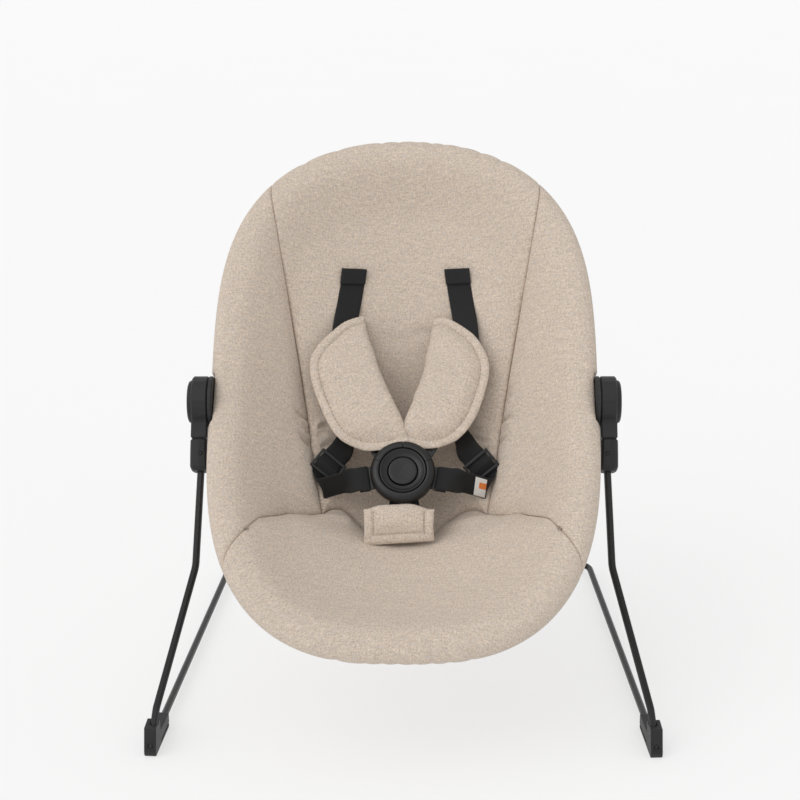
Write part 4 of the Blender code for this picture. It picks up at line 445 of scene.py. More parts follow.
RING_PITCH = float(np.linalg.norm(ring_line[1] - ring_line[0]))
SEAM_PULL = 0.030
ring_lean = np.zeros(RING_STEPS)
for start, seam_t in ((SEAM_TOP, WING_TOP_T), (LOW_SEAM[-1], WING_TIP_T)):
    for side, _ in SIDES:
        end = np.array(rim_place(side, seam_t))
        spot = int(nearest(end[None], ring_line)[0][0])
        way = end - np.array(start) * (side, 1)
        out = ring_out[spot]
        gap = (np.arange(RING_STEPS) - spot + RING_STEPS // 2) % RING_STEPS - RING_STEPS // 2
        lean = (way[0] * out[1] - way[1] * out[0]) / (way @ out)
        ring_lean += lean * np.exp(-((gap * RING_PITCH / SEAM_PULL) ** 2))


def on_ring(values, index):
    """Values of the ring's line between its points."""
    low = np.floor(index).astype(int)
    share = (index - low)[:, None]
    return values[low % RING_STEPS] * (1 - share) + values[(low + 1) % RING_STEPS] * share


def wrap_rows(place, count):
    """The cloth's rows over the tube: its centre, the way out of it, and the flat way from the ring.

    They lean along the ring where a seam ends, so that it runs straight over the tube.
    """
    index, _ = nearest(place, ring_line)
    rows = []
    for angle in WRAP_END * np.arange(1, count + 1) / count:
        shift = ring_lean[index] * WRAP_RADIUS * min(angle, 2.0) / RING_PITCH
        moved = place + on_ring(ring_line, index + shift) - ring_line[index]
        flat = on_ring(ring_out, index + shift)
        slope = np.where(moved[:, 1] > 0, BACK_SLOPE, FRONT_SLOPE)
        outward = unit(np.stack([flat[:, 0], flat[:, 1] * np.cos(slope), flat[:, 1] * np.sin(slope)], 1))
        upward = ring_normal(moved[:, 1])
        upward = unit(upward - outward * (upward * outward).sum(1)[:, None])
        rows.append((ring_place(*moved.T), outward * math.sin(angle) + upward * math.cos(angle),
                     moved - place + flat * WRAP_RADIUS * angle))
    return [np.array(part) for part in zip(*rows)]


# How far each place lies from the seat's middle along the cloth, across and up
CLOTH_X = np.linspace(-0.19, 0.19, 153)
CLOTH_T = np.linspace(-0.27, 0.285, 223)
cloth_height = cover_height(*np.meshgrid(CLOTH_X, CLOTH_T, indexing="ij"))[0]
cloth_tables = []
for axis, line in ((0, CLOTH_X), (1, CLOTH_T)):
    steps = np.hypot(np.diff(cloth_height, axis=axis), line[1] - line[0])
    reach = np.cumsum(steps, axis=axis)
    reach = np.concatenate([np.zeros_like(np.take(reach, [0], axis)), reach], axis)
    cloth_tables.append(reach - np.take(reach, [int(np.abs(line).argmin())], axis))


def cloth_place(points, turn):
    """Cloth coordinates of (x, t) places, turned a little for a panel's own cut."""
    spots = []
    for k, line in enumerate((CLOTH_X, CLOTH_T)):
        spot = np.clip((points[..., k] - line[0]) / (line[1] - line[0]), 0, len(line) - 1.001)
        spots.append((spot.astype(int), spot - spot.astype(int)))
    (i, a), (j, b) = spots
    u, v = [(table[i, j] * (1 - a) + table[i + 1, j] * a) * (1 - b)
            + (table[i, j + 1] * (1 - a) + table[i + 1, j + 1] * a) * b for table in cloth_tables]
    across = u * math.cos(turn) - v * math.sin(turn) + turn
    return np.stack([across, u * math.sin(turn) + v * math.cos(turn)], -1)


def new_piece(name, points, faces, cloth=None):
    """A smooth mesh, with the cloth coordinates of its points in metres where it is cloth."""
    mesh = bpy.data.meshes.new(name)
    mesh.from_pydata(points, [], faces)
    if cloth is not None:
        corners = np.zeros(len(mesh.loops), int)
        mesh.loops.foreach_get("vertex_index", corners)
        flat = np.array(cloth, np.float32)[corners]
        mesh.uv_layers.new(name="cloth").data.foreach_set("uv", flat.reshape(-1))
    mesh.shade_smooth()
    piece = bpy.data.objects.new(name, mesh)
    bpy.context.scene.collection.objects.link(piece)
    return piece


def finished(piece, material, nodes=(), body="seat"):
    """Gives a piece its material, and says what it rides on and what it stands for."""
    piece.data.materials.clear()
    piece.data.materials.append(material)
    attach(piece, body)
    if nodes:
        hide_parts(*nodes)


def closed_grid(name, face, lining, cloth):
    """A mesh of a face and a lining that share their rows and columns, closed along its four edges."""
    rows, columns = face.shape[:2]
    at = np.arange(rows * columns).reshape(rows, columns)
    under = at + rows * columns
    quads = [np.stack([at[:-1, :-1], at[:-1, 1:], at[1:, 1:], at[1:, :-1]], -1).reshape(-1, 4)]
    corners = [under[:-1, :-1], under[1:, :-1], under[1:, 1:], under[:-1, 1:]]
    quads.append(np.stack(corners, -1).reshape(-1, 4))
    edges = [(at[:, 0], under[:, 0]), (at[::-1, -1], under[::-1, -1])]
    edges += [(at[0, ::-1], under[0, ::-1]), (at[-1], under[-1])]
    for a, b in edges:
        quads.append(np.stack([a[:-1], a[1:], b[1:], b[:-1]], -1))
    points = np.concatenate([face.reshape(-1, 3), lining.reshape(-1, 3)])
    flat = np.tile(cloth.reshape(-1, 2), (2, 1))
    return new_piece(name, points.tolist(), np.concatenate(quads).tolist(), flat)


def fold_field(points, folds):
    """Soft ridges in the cloth: each runs between two (x, t) places with a half width and a height."""
    total = np.zeros(points.shape[:-1])
    for x0, t0, x1, t1, width, height in folds:
        start = np.array([x0, t0])
        span = np.array([x1, t1]) - start
        share = ((points - start) @ span) / (span @ span)
        bow = np.linalg.norm(span) * 0.08 * np.sin(math.pi * np.clip(share, 0, 1))
        aside = ((points - start) @ np.array([-span[1], span[0]])) / np.linalg.norm(span) - bow
        ends = ease((share + 0.12) / 0.35) * ease((1.15 - share) / 0.65)
        ratio = (aside / width) ** 2
        total += height * (1.25 * np.exp(-ratio) - 0.35 * np.exp(-ratio / 3.0)) * ends
    return total


TOP_NOTCHES = (-0.0980, -0.0660, -0.0235, -0.0070, 0.0113, 0.0254, 0.0377, 0.0540, 0.0730, 0.0925)
FRONT_NOTCHES = (-0.0560, -0.0310, -0.0170, -0.0030, 0.0120, 0.0260, 0.0410, 0.0600)
NOTCH_DEPTHS = (0.0013, 0.0009, 0.0015)
WRAP_ROWS = 22
DISC_SIDE = 0.1814
DISC_RADIUS = 0.0262
HUB_RADIUS = 0.0450


def padded_panel(name, places, crown, folds, turn=0.0):
    """A panel from its (row, column) grid of (x, t) places: row 0 on the seam, the last row on the ring."""
    x, t = places[:, :, 0], places[:, :, 1]
    height, lining_height, away, settle = cover_height(x, t)
    centres, ways, flats = wrap_rows(places[-1], WRAP_ROWS)
    base = ring_place(x, t) + ring_normal(t) * height[:, :, None]
    base = np.concatenate([base, centres + ways * WRAP_RADIUS])
    lining = ring_place(x, t) + ring_normal(t) * lining_height[:, :, None]
    lining = np.concatenate([lining, centres + ways * WRAP_INNER])
    cloth = np.concatenate([cloth_place(places, turn), cloth_place(places[-1], turn) + flats])
    normal = unit(np.cross(np.gradient(base, axis=1), np.gradient(base, axis=0)))
    if normal[3, normal.shape[1] // 2, 2] < 0:
        normal = -normal
    seam = np.concatenate([base[0], base[:, 0], base[:, -1]])
    near = nearest(base.reshape(-1, 3), seam)[1].reshape(base.shape[:2])

    def over_rim(grid, value):
        return np.concatenate([grid, np.full((WRAP_ROWS, grid.shape[1]), value)])

    settle, away = over_rim(settle, 1.0), over_rim(away, 0.0)
    roll = np.sqrt(np.maximum(SEAM_ROLL**2 - (SEAM_ROLL - np.minimum(near, SEAM_ROLL)) ** 2, 0.0)) - SEAM_ROLL
    fill = (1 - np.exp(-near / 0.012)) * (1 - 0.75 * settle) * ease(away / 0.02)
    lift = crown * fill + roll * (1 - 0.35 * settle)
    lift = lift + over_rim(fold_field(places, folds), 0.0) * ease(near / 0.0022)
    # Gathers along the tight rim: small uneven notches over the top and the front
    span, rim_t = [np.concatenate([grid, np.repeat(grid[-1:], WRAP_ROWS, 0)]) for grid in (x, t)]
    for notches, inside in ((TOP_NOTCHES, rim_t > 0.2), (FRONT_NOTCHES, rim_t < -0.2)):
        for k, notch in enumerate(notches):
            reach = np.abs(span - notch)
            depth = NOTCH_DEPTHS[k % 3] * np.exp(-reach / 0.0034)
            lift = lift - inside * depth * ease((0.014 - away) / 0.014) * ease((0.016 - reach) / 0.012)
    face = base + normal * lift[:, :, None]
    # The wing's side is pressed flat behind the hub's disc
    radius = np.hypot(face[:, :, 1] - hub.y, face[:, :, 2] - hub.z)
    limit = DISC_SIDE + 0.0040 * ease((radius - DISC_RADIUS) / 0.004)
    limit = limit + 0.03 * ease((radius - HUB_RADIUS) / 0.02)
    face[:, :, 0] = np.clip(face[:, :, 0], -limit, limit)
    lining[:, :, 0] = np.clip(lining[:, :, 0], 0.0008 - limit, limit - 0.0008)
    return closed_grid(name, face, lining, cloth)


def crowded(count, power):
    """Shares from 0 to 1 that crowd towards 0."""
    return (np.arange(count) / (count - 1)) ** power


# Puckers where the long seams are pulled in at the hips, as (x, t) from the seam and away from it
LEFT_FOLDS = (
    (-0.0925, 0.0072, -0.1140, 0.0140, 0.0026, -0.0038), (-0.0918, 0.0050, -0.1080, 0.0088, 0.0020, 0.0031),
    (-0.0897, -0.0040, -0.1015, -0.0018, 0.0020, -0.0034),
    (-0.0903, -0.0056, -0.0985, -0.0026, 0.0018, 0.0024),
    (-0.0880, -0.0135, -0.1085, -0.0088, 0.0036, -0.0048),
    (-0.0900, 0.0300, -0.1010, 0.0310, 0.0050, -0.0022),
)
RIGHT_FOLDS = (
    (0.0908, 0.0036, 0.1095, 0.0066, 0.0024, -0.0038), (0.0918, 0.0006, 0.1090, 0.0030, 0.0030, 0.0024),
    (0.0886, -0.0090, 0.0960, -0.0062, 0.0018, 0.0031), (0.0896, -0.0122, 0.1030, -0.0108, 0.0024, -0.0038),
    (0.0957, 0.0293, 0.1085, 0.0285, 0.0050, -0.0024), (0.0885, -0.0062, 0.0940, -0.0050, 0.0014, -0.0029),
)
MIDDLE_FOLDS = (
    (-0.0906, 0.0045, -0.0790, 0.0098, 0.0022, 0.0031), (-0.0880, 0.0040, -0.0765, 0.0062, 0.0024, -0.0041),
    (-0.0880, -0.0036, -0.0800, -0.0010, 0.0022, -0.0026),
    (-0.0850, -0.0140, -0.0700, -0.0085, 0.0026, -0.0041), (0.0888, 0.0047, 0.0730, 0.0080, 0.0022, 0.0026),
    (0.0854, -0.0080, 0.0690, -0.0015, 0.0026, -0.0034),
    (0.0850, -0.0145, 0.0740, -0.0130, 0.0024, -0.0024), (0.0020, 0.0960, 0.0380, 0.0990, 0.0060, -0.0017),
    (0.0020, 0.0950, -0.0300, 0.0965, 0.0070, -0.0014),
)
FRONT_FOLDS = (
    (-0.0860, -0.0870, -0.0470, -0.0935, 0.0105, 0.0046),
    (0.0860, -0.0880, 0.0420, -0.0930, 0.0100, 0.0036),
    (-0.0880, -0.0830, -0.1010, -0.1020, 0.0030, -0.0020),
    (0.0900, -0.0830, 0.1000, -0.1010, 0.0030, -0.0016),
)
sweep = np.linspace(-1.0, 1.0, 181)
sweep = 0.45 * np.sin(math.pi / 2 * sweep) + 0.55 * sweep

# Centre panel: columns run from the hip crease up to the top of the ring
top_rim = [rim_place(-1, WING_TOP_T), *upper_ring[upper_ring[:, 1] > WING_TOP_T], rim_place(1, WING_TOP_T)]
rim = run_along(top_rim, (sweep + 1) / 2)
columns = []
for across, end in zip(sweep, rim):
    start = (SEAM_HIP[0] * across, float(crease_t(SEAM_HIP[0] * across)))
    rise = (BACK_LENGTH - RIM_FLAT - SEAM_TOP[1]) * (1 - across**2) * 0.9
    corner = np.array((SEAM_TOP[0] * across, SEAM_TOP[1] + rise))
    toward = np.array((0.0, end[1] - 0.12)) - end
    near = end + toward * RIM_FLAT / np.linalg.norm(toward)
    knee = corner + (near - corner) * (1 - across**4)
    columns.append(run_along([start, knee, end], crowded(165, 1.2)))
centre_panel = padded_panel("centre_cushion", np.array(columns).transpose(1, 0, 2), 0.0090, MIDDLE_FOLDS)

# Wings: columns run from the long seam and the low seam out to the ring, and crowd at the hip
long_seam = [SEAM_TOP, SEAM_HIP, *LOW_SEAM]
even = np.linspace(0.0, 1.0, 2000)
crowding = 1 + 2.2 * np.exp(-(((even - 0.58) / 0.10) ** 2))
seam_shares = np.interp(np.linspace(0.0, 1.0, 201), np.cumsum(crowding) / crowding.sum(), even)
seam_shares[0] = 0.0
wings = []
for (side, name), folds in zip(SIDES, (LEFT_FOLDS, RIGHT_FOLDS)):
    border = run_along(long_seam, seam_shares) * (side, 1)
    half = [p for p in (*upper_ring, *lower_ring[::-1]) if p[0] * side > 0 and WING_TIP_T < p[1] < WING_TOP_T]
    half = sorted(half, key=lambda p: -p[1])
    rim = run_along([rim_place(side, WING_TOP_T), *half, rim_place(side, WING_TIP_T)], seam_shares)
    grid = np.array([run_along(ends, crowded(56, 1.25)) for ends in zip(border, rim)])
    wings.append(padded_panel(f"{name}_wing_cushion", grid.transpose(1, 0, 2), 0.0110, folds, side * 0.10))

# Front pad: columns run from the crease forward to the front of the ring
front_rim = [rim_place(-1, WING_TIP_T), *lower_ring[lower_ring[:, 1] < WING_TIP_T], rim_place(1, WING_TIP_T)]
crease = [(x, float(crease_t(x))) for x in np.linspace(-SEAM_HIP[0], SEAM_HIP[0], 41)]
low = [(-x, t) for x, t in reversed(LOW_SEAM)] + crease + list(LOW_SEAM)
even = np.linspace(0, 1, 181)
edges = zip(run_along(low, even), run_along(front_rim, even))
grid = np.array([run_along(ends, crowded(70, 1.25)) for ends in edges])
front_pad = padded_panel("front_cushion", grid.transpose(1, 0, 2), 0.0140, FRONT_FOLDS, 0.03)

# Melange linen: warp and weft yarns cross over and under, and each slub keeps its own tone
weave, inlet, outlet = effect("melange_weave", {"Yarn": 0.0006, "Slub": 0.0035}, ("Height", "Tone", "Cool"))
axes = node(weave, "ShaderNodeSeparateXYZ", {0: inlet["Place"]}).outputs
counted = [maths(weave, "DIVIDE", axes[k], inlet["Yarn"]) for k in (0, 1)]
slow = [maths(weave, "DIVIDE", axes[k], inlet["Slub"]) for k in (0, 1)]
waves = [maths(weave, "SINE", maths(weave, "MULTIPLY", value, math.pi)) for value in counted]
cross = maths(weave, "MULTIPLY", *waves)
over = remap(weave, cross, -0.15, 0.15)
yarns = []
for fast, lazy, shift in ((counted[0], slow[1], 0.0), (slow[0], counted[1], 31.7)):
    spot = node(weave, "ShaderNodeCombineXYZ", {0: fast, 1: lazy, 2: shift}).outputs[0]
    yarns.append(noise(weave, spot, 0.55, 3.0, 0.65))
woven = node(weave, "ShaderNodeMix", {"Factor": over, 2: yarns[0], 3: yarns[1]}).outputs[0]
fleck = noise(weave, inlet["Place"], 520.0, 2.0, 0.7)
tone = node(weave, "ShaderNodeMix", {"Factor": 0.45, 2: woven, 3: fleck}).outputs[0]
for result, label in ((tone, "Tone"), (noise(weave, inlet["Place"], 260.0, 1.0), "Cool"),
                      (maths(weave, "ABSOLUTE", cross), "Height")):
    weave.links.new(result, outlet[label])

LINEN_DARK = (0.425, 0.348, 0.282, 1.0)
LINEN_LIGHT = (0.825, 0.700, 0.578, 1.0)
LINEN_COOL = (0.560, 0.515, 0.490, 1.0)
linen, tree, shader = finish_of("beige_linen", 0.92, sheen_weight=0.12, sheen_roughness=0.5)
cloth = placed_effect(tree, weave, {"Place": node(tree, "ShaderNodeUVMap", uv_map="cloth").outputs[0]})
warm = blend(tree, remap(tree, cloth["Tone"], 0.36, 0.64), LINEN_DARK, LINEN_LIGHT)
cool = remap(tree, cloth["Cool"], 0.52, 0.75, 0.0, 0.55)
tree.links.new(blend(tree, cool, warm, LINEN_COOL), shader.inputs["Base Color"])
lay_bump(tree, shader, cloth["Height"], 0.00022, 0.8)

for piece, name, fill in (
    (centre_panel, "centre_panel", 0.5),
    (wings[0], "left_wing", 0.6),
    (wings[1], "right_wing", 0.6),
    (front_pad, "front_pad", 0.7),
):
    finished(piece, linen, [name])


# The harness webbing. Five black nylon straps, 24 mm wide, woven with fine ribs and a dense
# edge. The two over the shoulders come out of slots in the back under a sewn tab. The two at
# the waist leave the buckle, fold at the hip and run back up through a slide.
STRAP_HALF = 0.0120
STRAP_THICKNESS = 0.0014
STRAP_LIE = 0.0024
STRAP_GAP = 0.0003
SHOULDER_X = 0.0525
SHOULDER_T = 0.1575
SHOULDER_DRAPE = (
    (0.0605, 0.0900, 0.0495),
    (0.0615, 0.0730, 0.0315),
    (0.0590, 0.0540, 0.0105),
    (0.0490, 0.0365, -0.0095),
    (0.0360, 0.0235, -0.0245),
)
CROTCH_T = -0.1110
LUG_MIDDLE = -0.0018
LUG_HALF = 0.0012
BUCKLE_TILT = math.radians(39.5)
SHOULDER_BAR = 0.0423
WAIST_BAR = 0.0393
CROTCH_BAR = 0.0378
CROTCH_LUG = -0.0068
WAIST_ANGLE = math.radians(189)

ACROSS = Vector((1.0, 0.0, 0.0))
buckle_face = Vector((0.0, -math.cos(BUCKLE_TILT), math.sin(BUCKLE_TILT)))
buckle_middle = hub + Vector((-0.0014, -0.0100, -0.0685))


def frame_of(place, *axes):
    """A frame at a place, from its three axes."""
    return Matrix.Translation(place) @ Matrix(axes).transposed().to_4x4()


buckle_frame = frame_of(buckle_middle, ACROSS, buckle_face.cross(ACROSS), buckle_face)


def seat_point(x, t):
    """A place on the seat's sagging surface."""
    x, t = np.float64(x), np.float64(t)
    return Vector(ring_place(x, t) - ring_normal(t) * seat_depth(x, t))


def seat_frame(x, t, height=0.0):
    """A frame on the seat: X across, Y up the seat and Z out of it."""
    across = seat_point(x + 0.002, t) - seat_point(x - 0.002, t)
    normal = across.cross(seat_point(x, t + 0.002) - seat_point(x, t - 0.002)).normalized()
    across = (ACROSS - normal * normal.x).normalized()
    return frame_of(seat_point(x, t) + normal * height, across, normal.cross(across), normal)


def lug_frame(angle, out):
    """A frame on the buckle with X out along a lug at this angle, as high as out."""
    return buckle_frame @ Matrix.Rotation(angle, 4, "Z") @ Matrix.Translation((0.0, 0.0, out))


def facing(way, toward):
    """The same way, or its opposite if that points more toward the other."""
    return way if way.dot(toward) > 0 else -way


def from_hub(side, place):
    """A place given across from the middle, and back and up from the hubs' axis."""
    return Vector((side * place[0], hub.y + place[1], hub.z + place[2]))


def curve_through(points, count):
    """Even steps along a smooth curve through the points."""
    points = [Vector(p) for p in points]
    spread = [2 * points[0] - points[1]] + points + [2 * points[-1] - points[-2]]
    dense = []
    for a, b, c, d in zip(spread, spread[1:], spread[2:], spread[3:]):
        for u in (np.arange(16) / 16).tolist():
            bend = (2 * a - 5 * b + 4 * c - d) * u**2 + (3 * b - a - 3 * c + d) * u**3
            dense.append(0.5 * (2 * b + (c - a) * u + bend))
    dense.append(points[-1])
    return [Vector(p) for p in run_along(dense, np.linspace(0, 1, count)).tolist()]


def strap_run(points, first, last):
    """A strap's stations: its centre, its way across to +X and its face, turning from one face to another."""
    stations = []
    for index, point in enumerate(points):
        tangent = (points[min(index + 1, len(points) - 1)] - points[max(index - 1, 0)]).normalized()
        across = first.lerp(last, index / (len(points) - 1)).normalized().cross(tangent).normalized()
        stations.append((point, facing(across, ACROSS), tangent.cross(across)))
    return stations


def face_at(degrees, axis=0):
    """A face that leans back from an axis, as a unit vector."""
    face = Vector((0.0, 0.0, math.sin(math.radians(degrees))))
    face[axis] = math.cos(math.radians(degrees))
    return face


def bar_loop(lug, bar, toward, reach=0.0050):
    """The strap's end round the bar of a lug: over it, down beside the buckle and back beneath."""
    turn = lug.to_3x3()
    lift = LUG_HALF + 0.0013
    inner = bar - reach
    path = (
        # out along the lug, up from its middle, and the way the strap's face leans in degrees
        (bar + 0.004, lift, 90), (bar, lift, 90), (inner + 0.0018, lift - 0.0002, 100),
        (inner + 0.0004, lift * 0.7, 140), (inner, lift * 0.2, 175), (inner, -lift * 0.4, 185),
        (inner + 0.0012, -lift, 260), (bar + 0.004, -lift, 270),
    )
    across = facing(turn @ Vector((0.0, 1.0, 0.0)), toward)
    return [(lug @ Vector((x, 0.0, z)), across, turn @ face_at(degrees)) for x, z, degrees in path]


STRAP_SECTION = [(-1.0, 0.35)] + [(-0.96 + 0.24 * k, 1.0) for k in range(9)] + [(1.0, 0.35)]
STRAP_SECTION += [(u, -v) for u, v in reversed(STRAP_SECTION)]


def face_outward(piece, merge=0.0):
    """Turns a mesh's faces outward, after points that lie this near each other are merged."""
    outward = bmesh.new()
    outward.from_mesh(piece.data)
    if merge:
        bmesh.ops.remove_doubles(outward, verts=outward.verts, dist=merge)
    bmesh.ops.recalc_face_normals(outward, faces=outward.faces)
    outward.to_mesh(piece.data)
    outward.free()
    return piece


def webbing_strap(name, solid, stations, half=STRAP_HALF, cup=0.0):
    """A woven strap through its stations, with rounded edges and its cloth coordinates along its length."""
    points, places, run = [], [], 0.0
    for index, (centre, across, face) in enumerate(stations):
        if index:
            run += (centre - stations[index - 1][0]).length
        across, face = across.normalized(), face.normalized()
        for u, v in STRAP_SECTION:
            points.append(centre + across * u * half + face * (v * STRAP_THICKNESS / 2 + cup * (u * u - 0.5)))
            places.append((u * half + (0.0 if v > 0 else 4 * half), run))
    count, last = len(STRAP_SECTION), len(stations) - 1
    faces = []
    for low in range(0, last * count, count):
        faces += [[low + k, low + (k + 1) % count, low + count + (k + 1) % count, low + count + k]
                  for k in range(count)]
    faces += [list(range(count))[::-1], [last * count + k for k in range(count)]]
    finished(face_outward(new_piece(name, points, faces, places)), webbing, [solid])


# Ribbed weave: fine ribs across the strap, a twill line down it and a denser edge
ribs, inlet, outlet = effect("ribbed_webbing", {"Rib": 0.0009, "Half": STRAP_HALF},
                             ("Height", "Fuzz", "Edge"))
axes = node(ribs, "ShaderNodeSeparateXYZ", {0: inlet["Place"]}).outputs
steps = []
for axis, width in ((1, 1.0), (0, 1.6)):
    counted = maths(ribs, "DIVIDE", axes[axis], maths(ribs, "MULTIPLY", inlet["Rib"], width))
    steps.append(maths(ribs, "MULTIPLY", counted, math.tau))
ribs.links.new(maths(ribs, "SINE", maths(ribs, "ADD", *steps)), outlet["Height"])
ribs.links.new(noise(ribs, inlet["Place"], 900.0, 3.0), outlet["Fuzz"])
edge = maths(ribs, "DIVIDE", maths(ribs, "ABSOLUTE", axes[0]), inlet["Half"])
ribs.links.new(remap(ribs, edge, 0.86, 0.90), outlet["Edge"])

webbing, tree, shader = finish_of("black_webbing", 0.62, specular=0.25, sheen_weight=0.10,
                                  sheen_roughness=0.4)
cloth = placed_effect(tree, ribs, {"Place": node(tree, "ShaderNodeUVMap", uv_map="cloth").outputs[0]})
tree.links.new(blend(tree, cloth["Fuzz"], (0.0085, 0.0085, 0.0092, 1.0), (0.0165, 0.0165, 0.0170, 1.0)),
               shader.inputs["Base Color"])
tree.links.new(remap(tree, cloth["Edge"], 0.0, 1.0, 0.62, 0.48), shader.inputs["Roughness"])
lay_bump(tree, shader, cloth["Height"], 0.00010)

shoulder_runs = {}
for side, name in SIDES:
    slot_frame = seat_frame(side * SHOULDER_X, SHOULDER_T)
    across, _, back_face = slot_frame.to_3x3().transposed()
    lug = lug_frame(math.radians(90 - side * 30), LUG_MIDDLE)
    loop = bar_loop(lug, SHOULDER_BAR, ACROSS)
    route = [slot_frame @ Vector((0.0, -0.0040, STRAP_LIE))]
    for spread, down, lift in ((0.0020, 0.0175, 0.0), (0.0055, 0.0375, 0.0010)):
        lying = seat_frame(side * (SHOULDER_X + spread), SHOULDER_T - down, STRAP_LIE + lift)
        route.append(lying.translation)
    route += [from_hub(side, place) for place in SHOULDER_DRAPE] + [loop[0][0]]
    run = strap_run(curve_through(route, 78), back_face, buckle_face)
    shoulder_runs[side] = (run, lug)
    threaded = []
    for v, w, degrees in ((0.0, -0.021, 0), (0.0, -0.003, 0), (-0.0002, 0.0, 20),
                          (-0.0014, STRAP_LIE - 0.0006, 60)):
        threaded.append((slot_frame @ Vector((0.0, v, w)), across, slot_frame.to_3x3() @ face_at(degrees, 1)))
    webbing_strap(f"{name}_shoulder_webbing", f"{name}_shoulder_strap", threaded + run[:-1] + loop,
                  cup=0.0003)
    # The tab is a short doubled end, sewn down over the slot
    over = STRAP_LIE + STRAP_THICKNESS + STRAP_GAP
    tab = []
    for v, w in ((0.0016, -0.0004), (0.0010, 0.0006), (-0.0010, 0.0010), (-0.0040, 0.0006), (-0.0090, 0.0002),
                 (-0.0128, 0.0003), (-0.0142, 0.0)):
        tab.append((slot_frame @ Vector((side * max(-v, 0) * 0.11, v, over + w)), across, back_face))
    webbing_strap(f"{name}_slot_tab", f"{name}_strap_tab", tab, STRAP_HALF + 0.0008)

# Waist straps, with the sharp turned fold at the hip
WAIST_MIDDLE = (0.0560, -0.0100, -0.0775)
WAIST_FOLD = (0.0820, 0.0020, -0.0895)
SLIDE_PLACE = (0.0745, 0.0125, -0.0690)
SLIDE_REACH = 0.0105
SLIDE_BAR = 0.0015
SLIDE_HALF = 0.0012
drop = SLIDE_HALF + STRAP_GAP + STRAP_THICKNESS / 2
bar_path = [(-SLIDE_REACH - 0.002, -drop), (-SLIDE_REACH + 0.003, -drop), (-SLIDE_BAR - 0.0012, drop * 0.6),
            (-SLIDE_BAR, drop)]
bar_path += [(-u, w) for u, w in reversed(bar_path)]
slide_frames = {}
for side, name in SIDES:
    lug = lug_frame(WAIST_ANGLE if side < 0 else math.pi - WAIST_ANGLE, LUG_MIDDLE)
    loop = bar_loop(lug, WAIST_BAR, Vector((0.0, 0.0, 1.0)), 0.0063)
    fold = from_hub(side, WAIST_FOLD)
    across = Vector((side * 0.10, -0.25, 1.0)).normalized()
    face = Vector((0.0, -1.0, -0.25)).normalized()
    run = []
    for index, point in enumerate(curve_through([loop[0][0], from_hub(side, WAIST_MIDDLE), fold], 22)[1:-1]):
        share = ease(index / 8)
        turning = [start.lerp(end, share).normalized() for start, end in zip(loop[0][1:], (across, face))]
        run.append((point, *turning))
    slide = from_hub(side, SLIDE_PLACE)
    along = Vector((-side * 0.62, 0.26, 0.70)).normalized()
    slide_face = Vector((0.0, -0.94, 0.34))
    slide_face = (slide_face - along * slide_face.dot(along)).normalized()
    slide_across = facing(slide_face.cross(along).normalized(), Vector((0.0, 0.0, 1.0)))
    slide_frames[side] = frame_of(slide, along, slide_across, along.cross(slide_across))
    fold_face = Vector((0.0, -0.97, 0.20))
    outer = fold - fold_face * (STRAP_THICKNESS / 2 + STRAP_GAP) - Vector((side * 0.8, 0.0, -0.6)) * 0.001
    wound = [(slide + along * u + slide_face * w, slide_across, -slide_face) for u, w in bar_path]
    # Past the slide the strap dives through its slot in the seat, under the pad
    dive = seat_frame(side * 0.0500, 0.0100)
    deep = [wound[-1][0], slide + along * 0.021 - slide_face * (drop + 0.003)]
    for place in ((side * 0.003, -0.004, 0.010), (0.0, 0.0, 0.001), (-side * 0.001, 0.001, -0.010)):
        deep.append(dive @ Vector(place))
    deep = curve_through(deep, 12)
    up_seat = dive.to_3x3() @ Vector((0.0, 1.0, 0.0))
    for index, point in enumerate(deep[1:], 1):
        tangent = deep[min(index + 1, 11)] - deep[index - 1]
        broad = slide_across.lerp(up_seat, ease(index / 8)).normalized()
        wound.append((point, broad, facing(tangent.normalized().cross(broad), -slide_face)))
    turned = [(outer, (across + slide_across).normalized(), fold_face)]
    webbing_strap(f"{name}_waist_webbing", f"{name}_waist_strap", loop[::-1] + run + turned + wound)
waist_run = run

# Crotch strap, up through the front pad to the back of the buckle
crotch_frame = seat_frame(0.0, CROTCH_T)
loop = bar_loop(lug_frame(-math.pi / 2, CROTCH_LUG), CROTCH_BAR, ACROSS, 0.0035)
loop = [(centre, ACROSS, face) for centre, _, face in loop]
route = [crotch_frame @ Vector((0.0, up, out))
         for up, out in ((0.006, -0.022), (0.006, -0.010), (0.006, 0.001), (0.009, 0.008))]
points = curve_through(route + [loop[0][0]], 24)
run = []
for index, point in enumerate(points[:-1]):
    run.append((point, ACROSS, ACROSS.cross(points[index + 1] - points[max(index - 1, 0)])))
webbing_strap("crotch_webbing", "crotch_strap", run + loop)


# Padded covers on the straps: two leaf-shaped shoulder pads and a sleeve between the legs. Each
# is two layers of linen round thin foam. Its outer edges are bound and stitched 9 mm in, and
# the inner edge is a plain soft fold.
PAD_BINDING = 0.0085
PAD_STITCH = 0.0022
PAD_STITCH_PITCH = 0.0034
PAD_EDGE = 180
PAD_RINGS = 46
PAD_BACK = 0.0022
PAD_SHARP = 1400.0
STITCH_RADII = (0.00008, 0.00026, 0.00030, 0.00026, 0.00008)
LEFT_PAD_BOUND = (
    (0.0425, 0.0145), (0.0537, -0.0010), (0.0684, -0.0140), (0.0809, -0.0250), (0.0935, -0.0320),
    (0.1060, -0.0338), (0.1200, -0.0335), (0.1340, -0.0335), (0.1479, -0.0348), (0.1600, -0.0355),
    (0.1715, -0.0330), (0.1830, -0.0280), (0.1925, -0.0205), (0.1990, -0.0090), (0.2045, 0.0050),
    (0.2070, 0.0170),
)
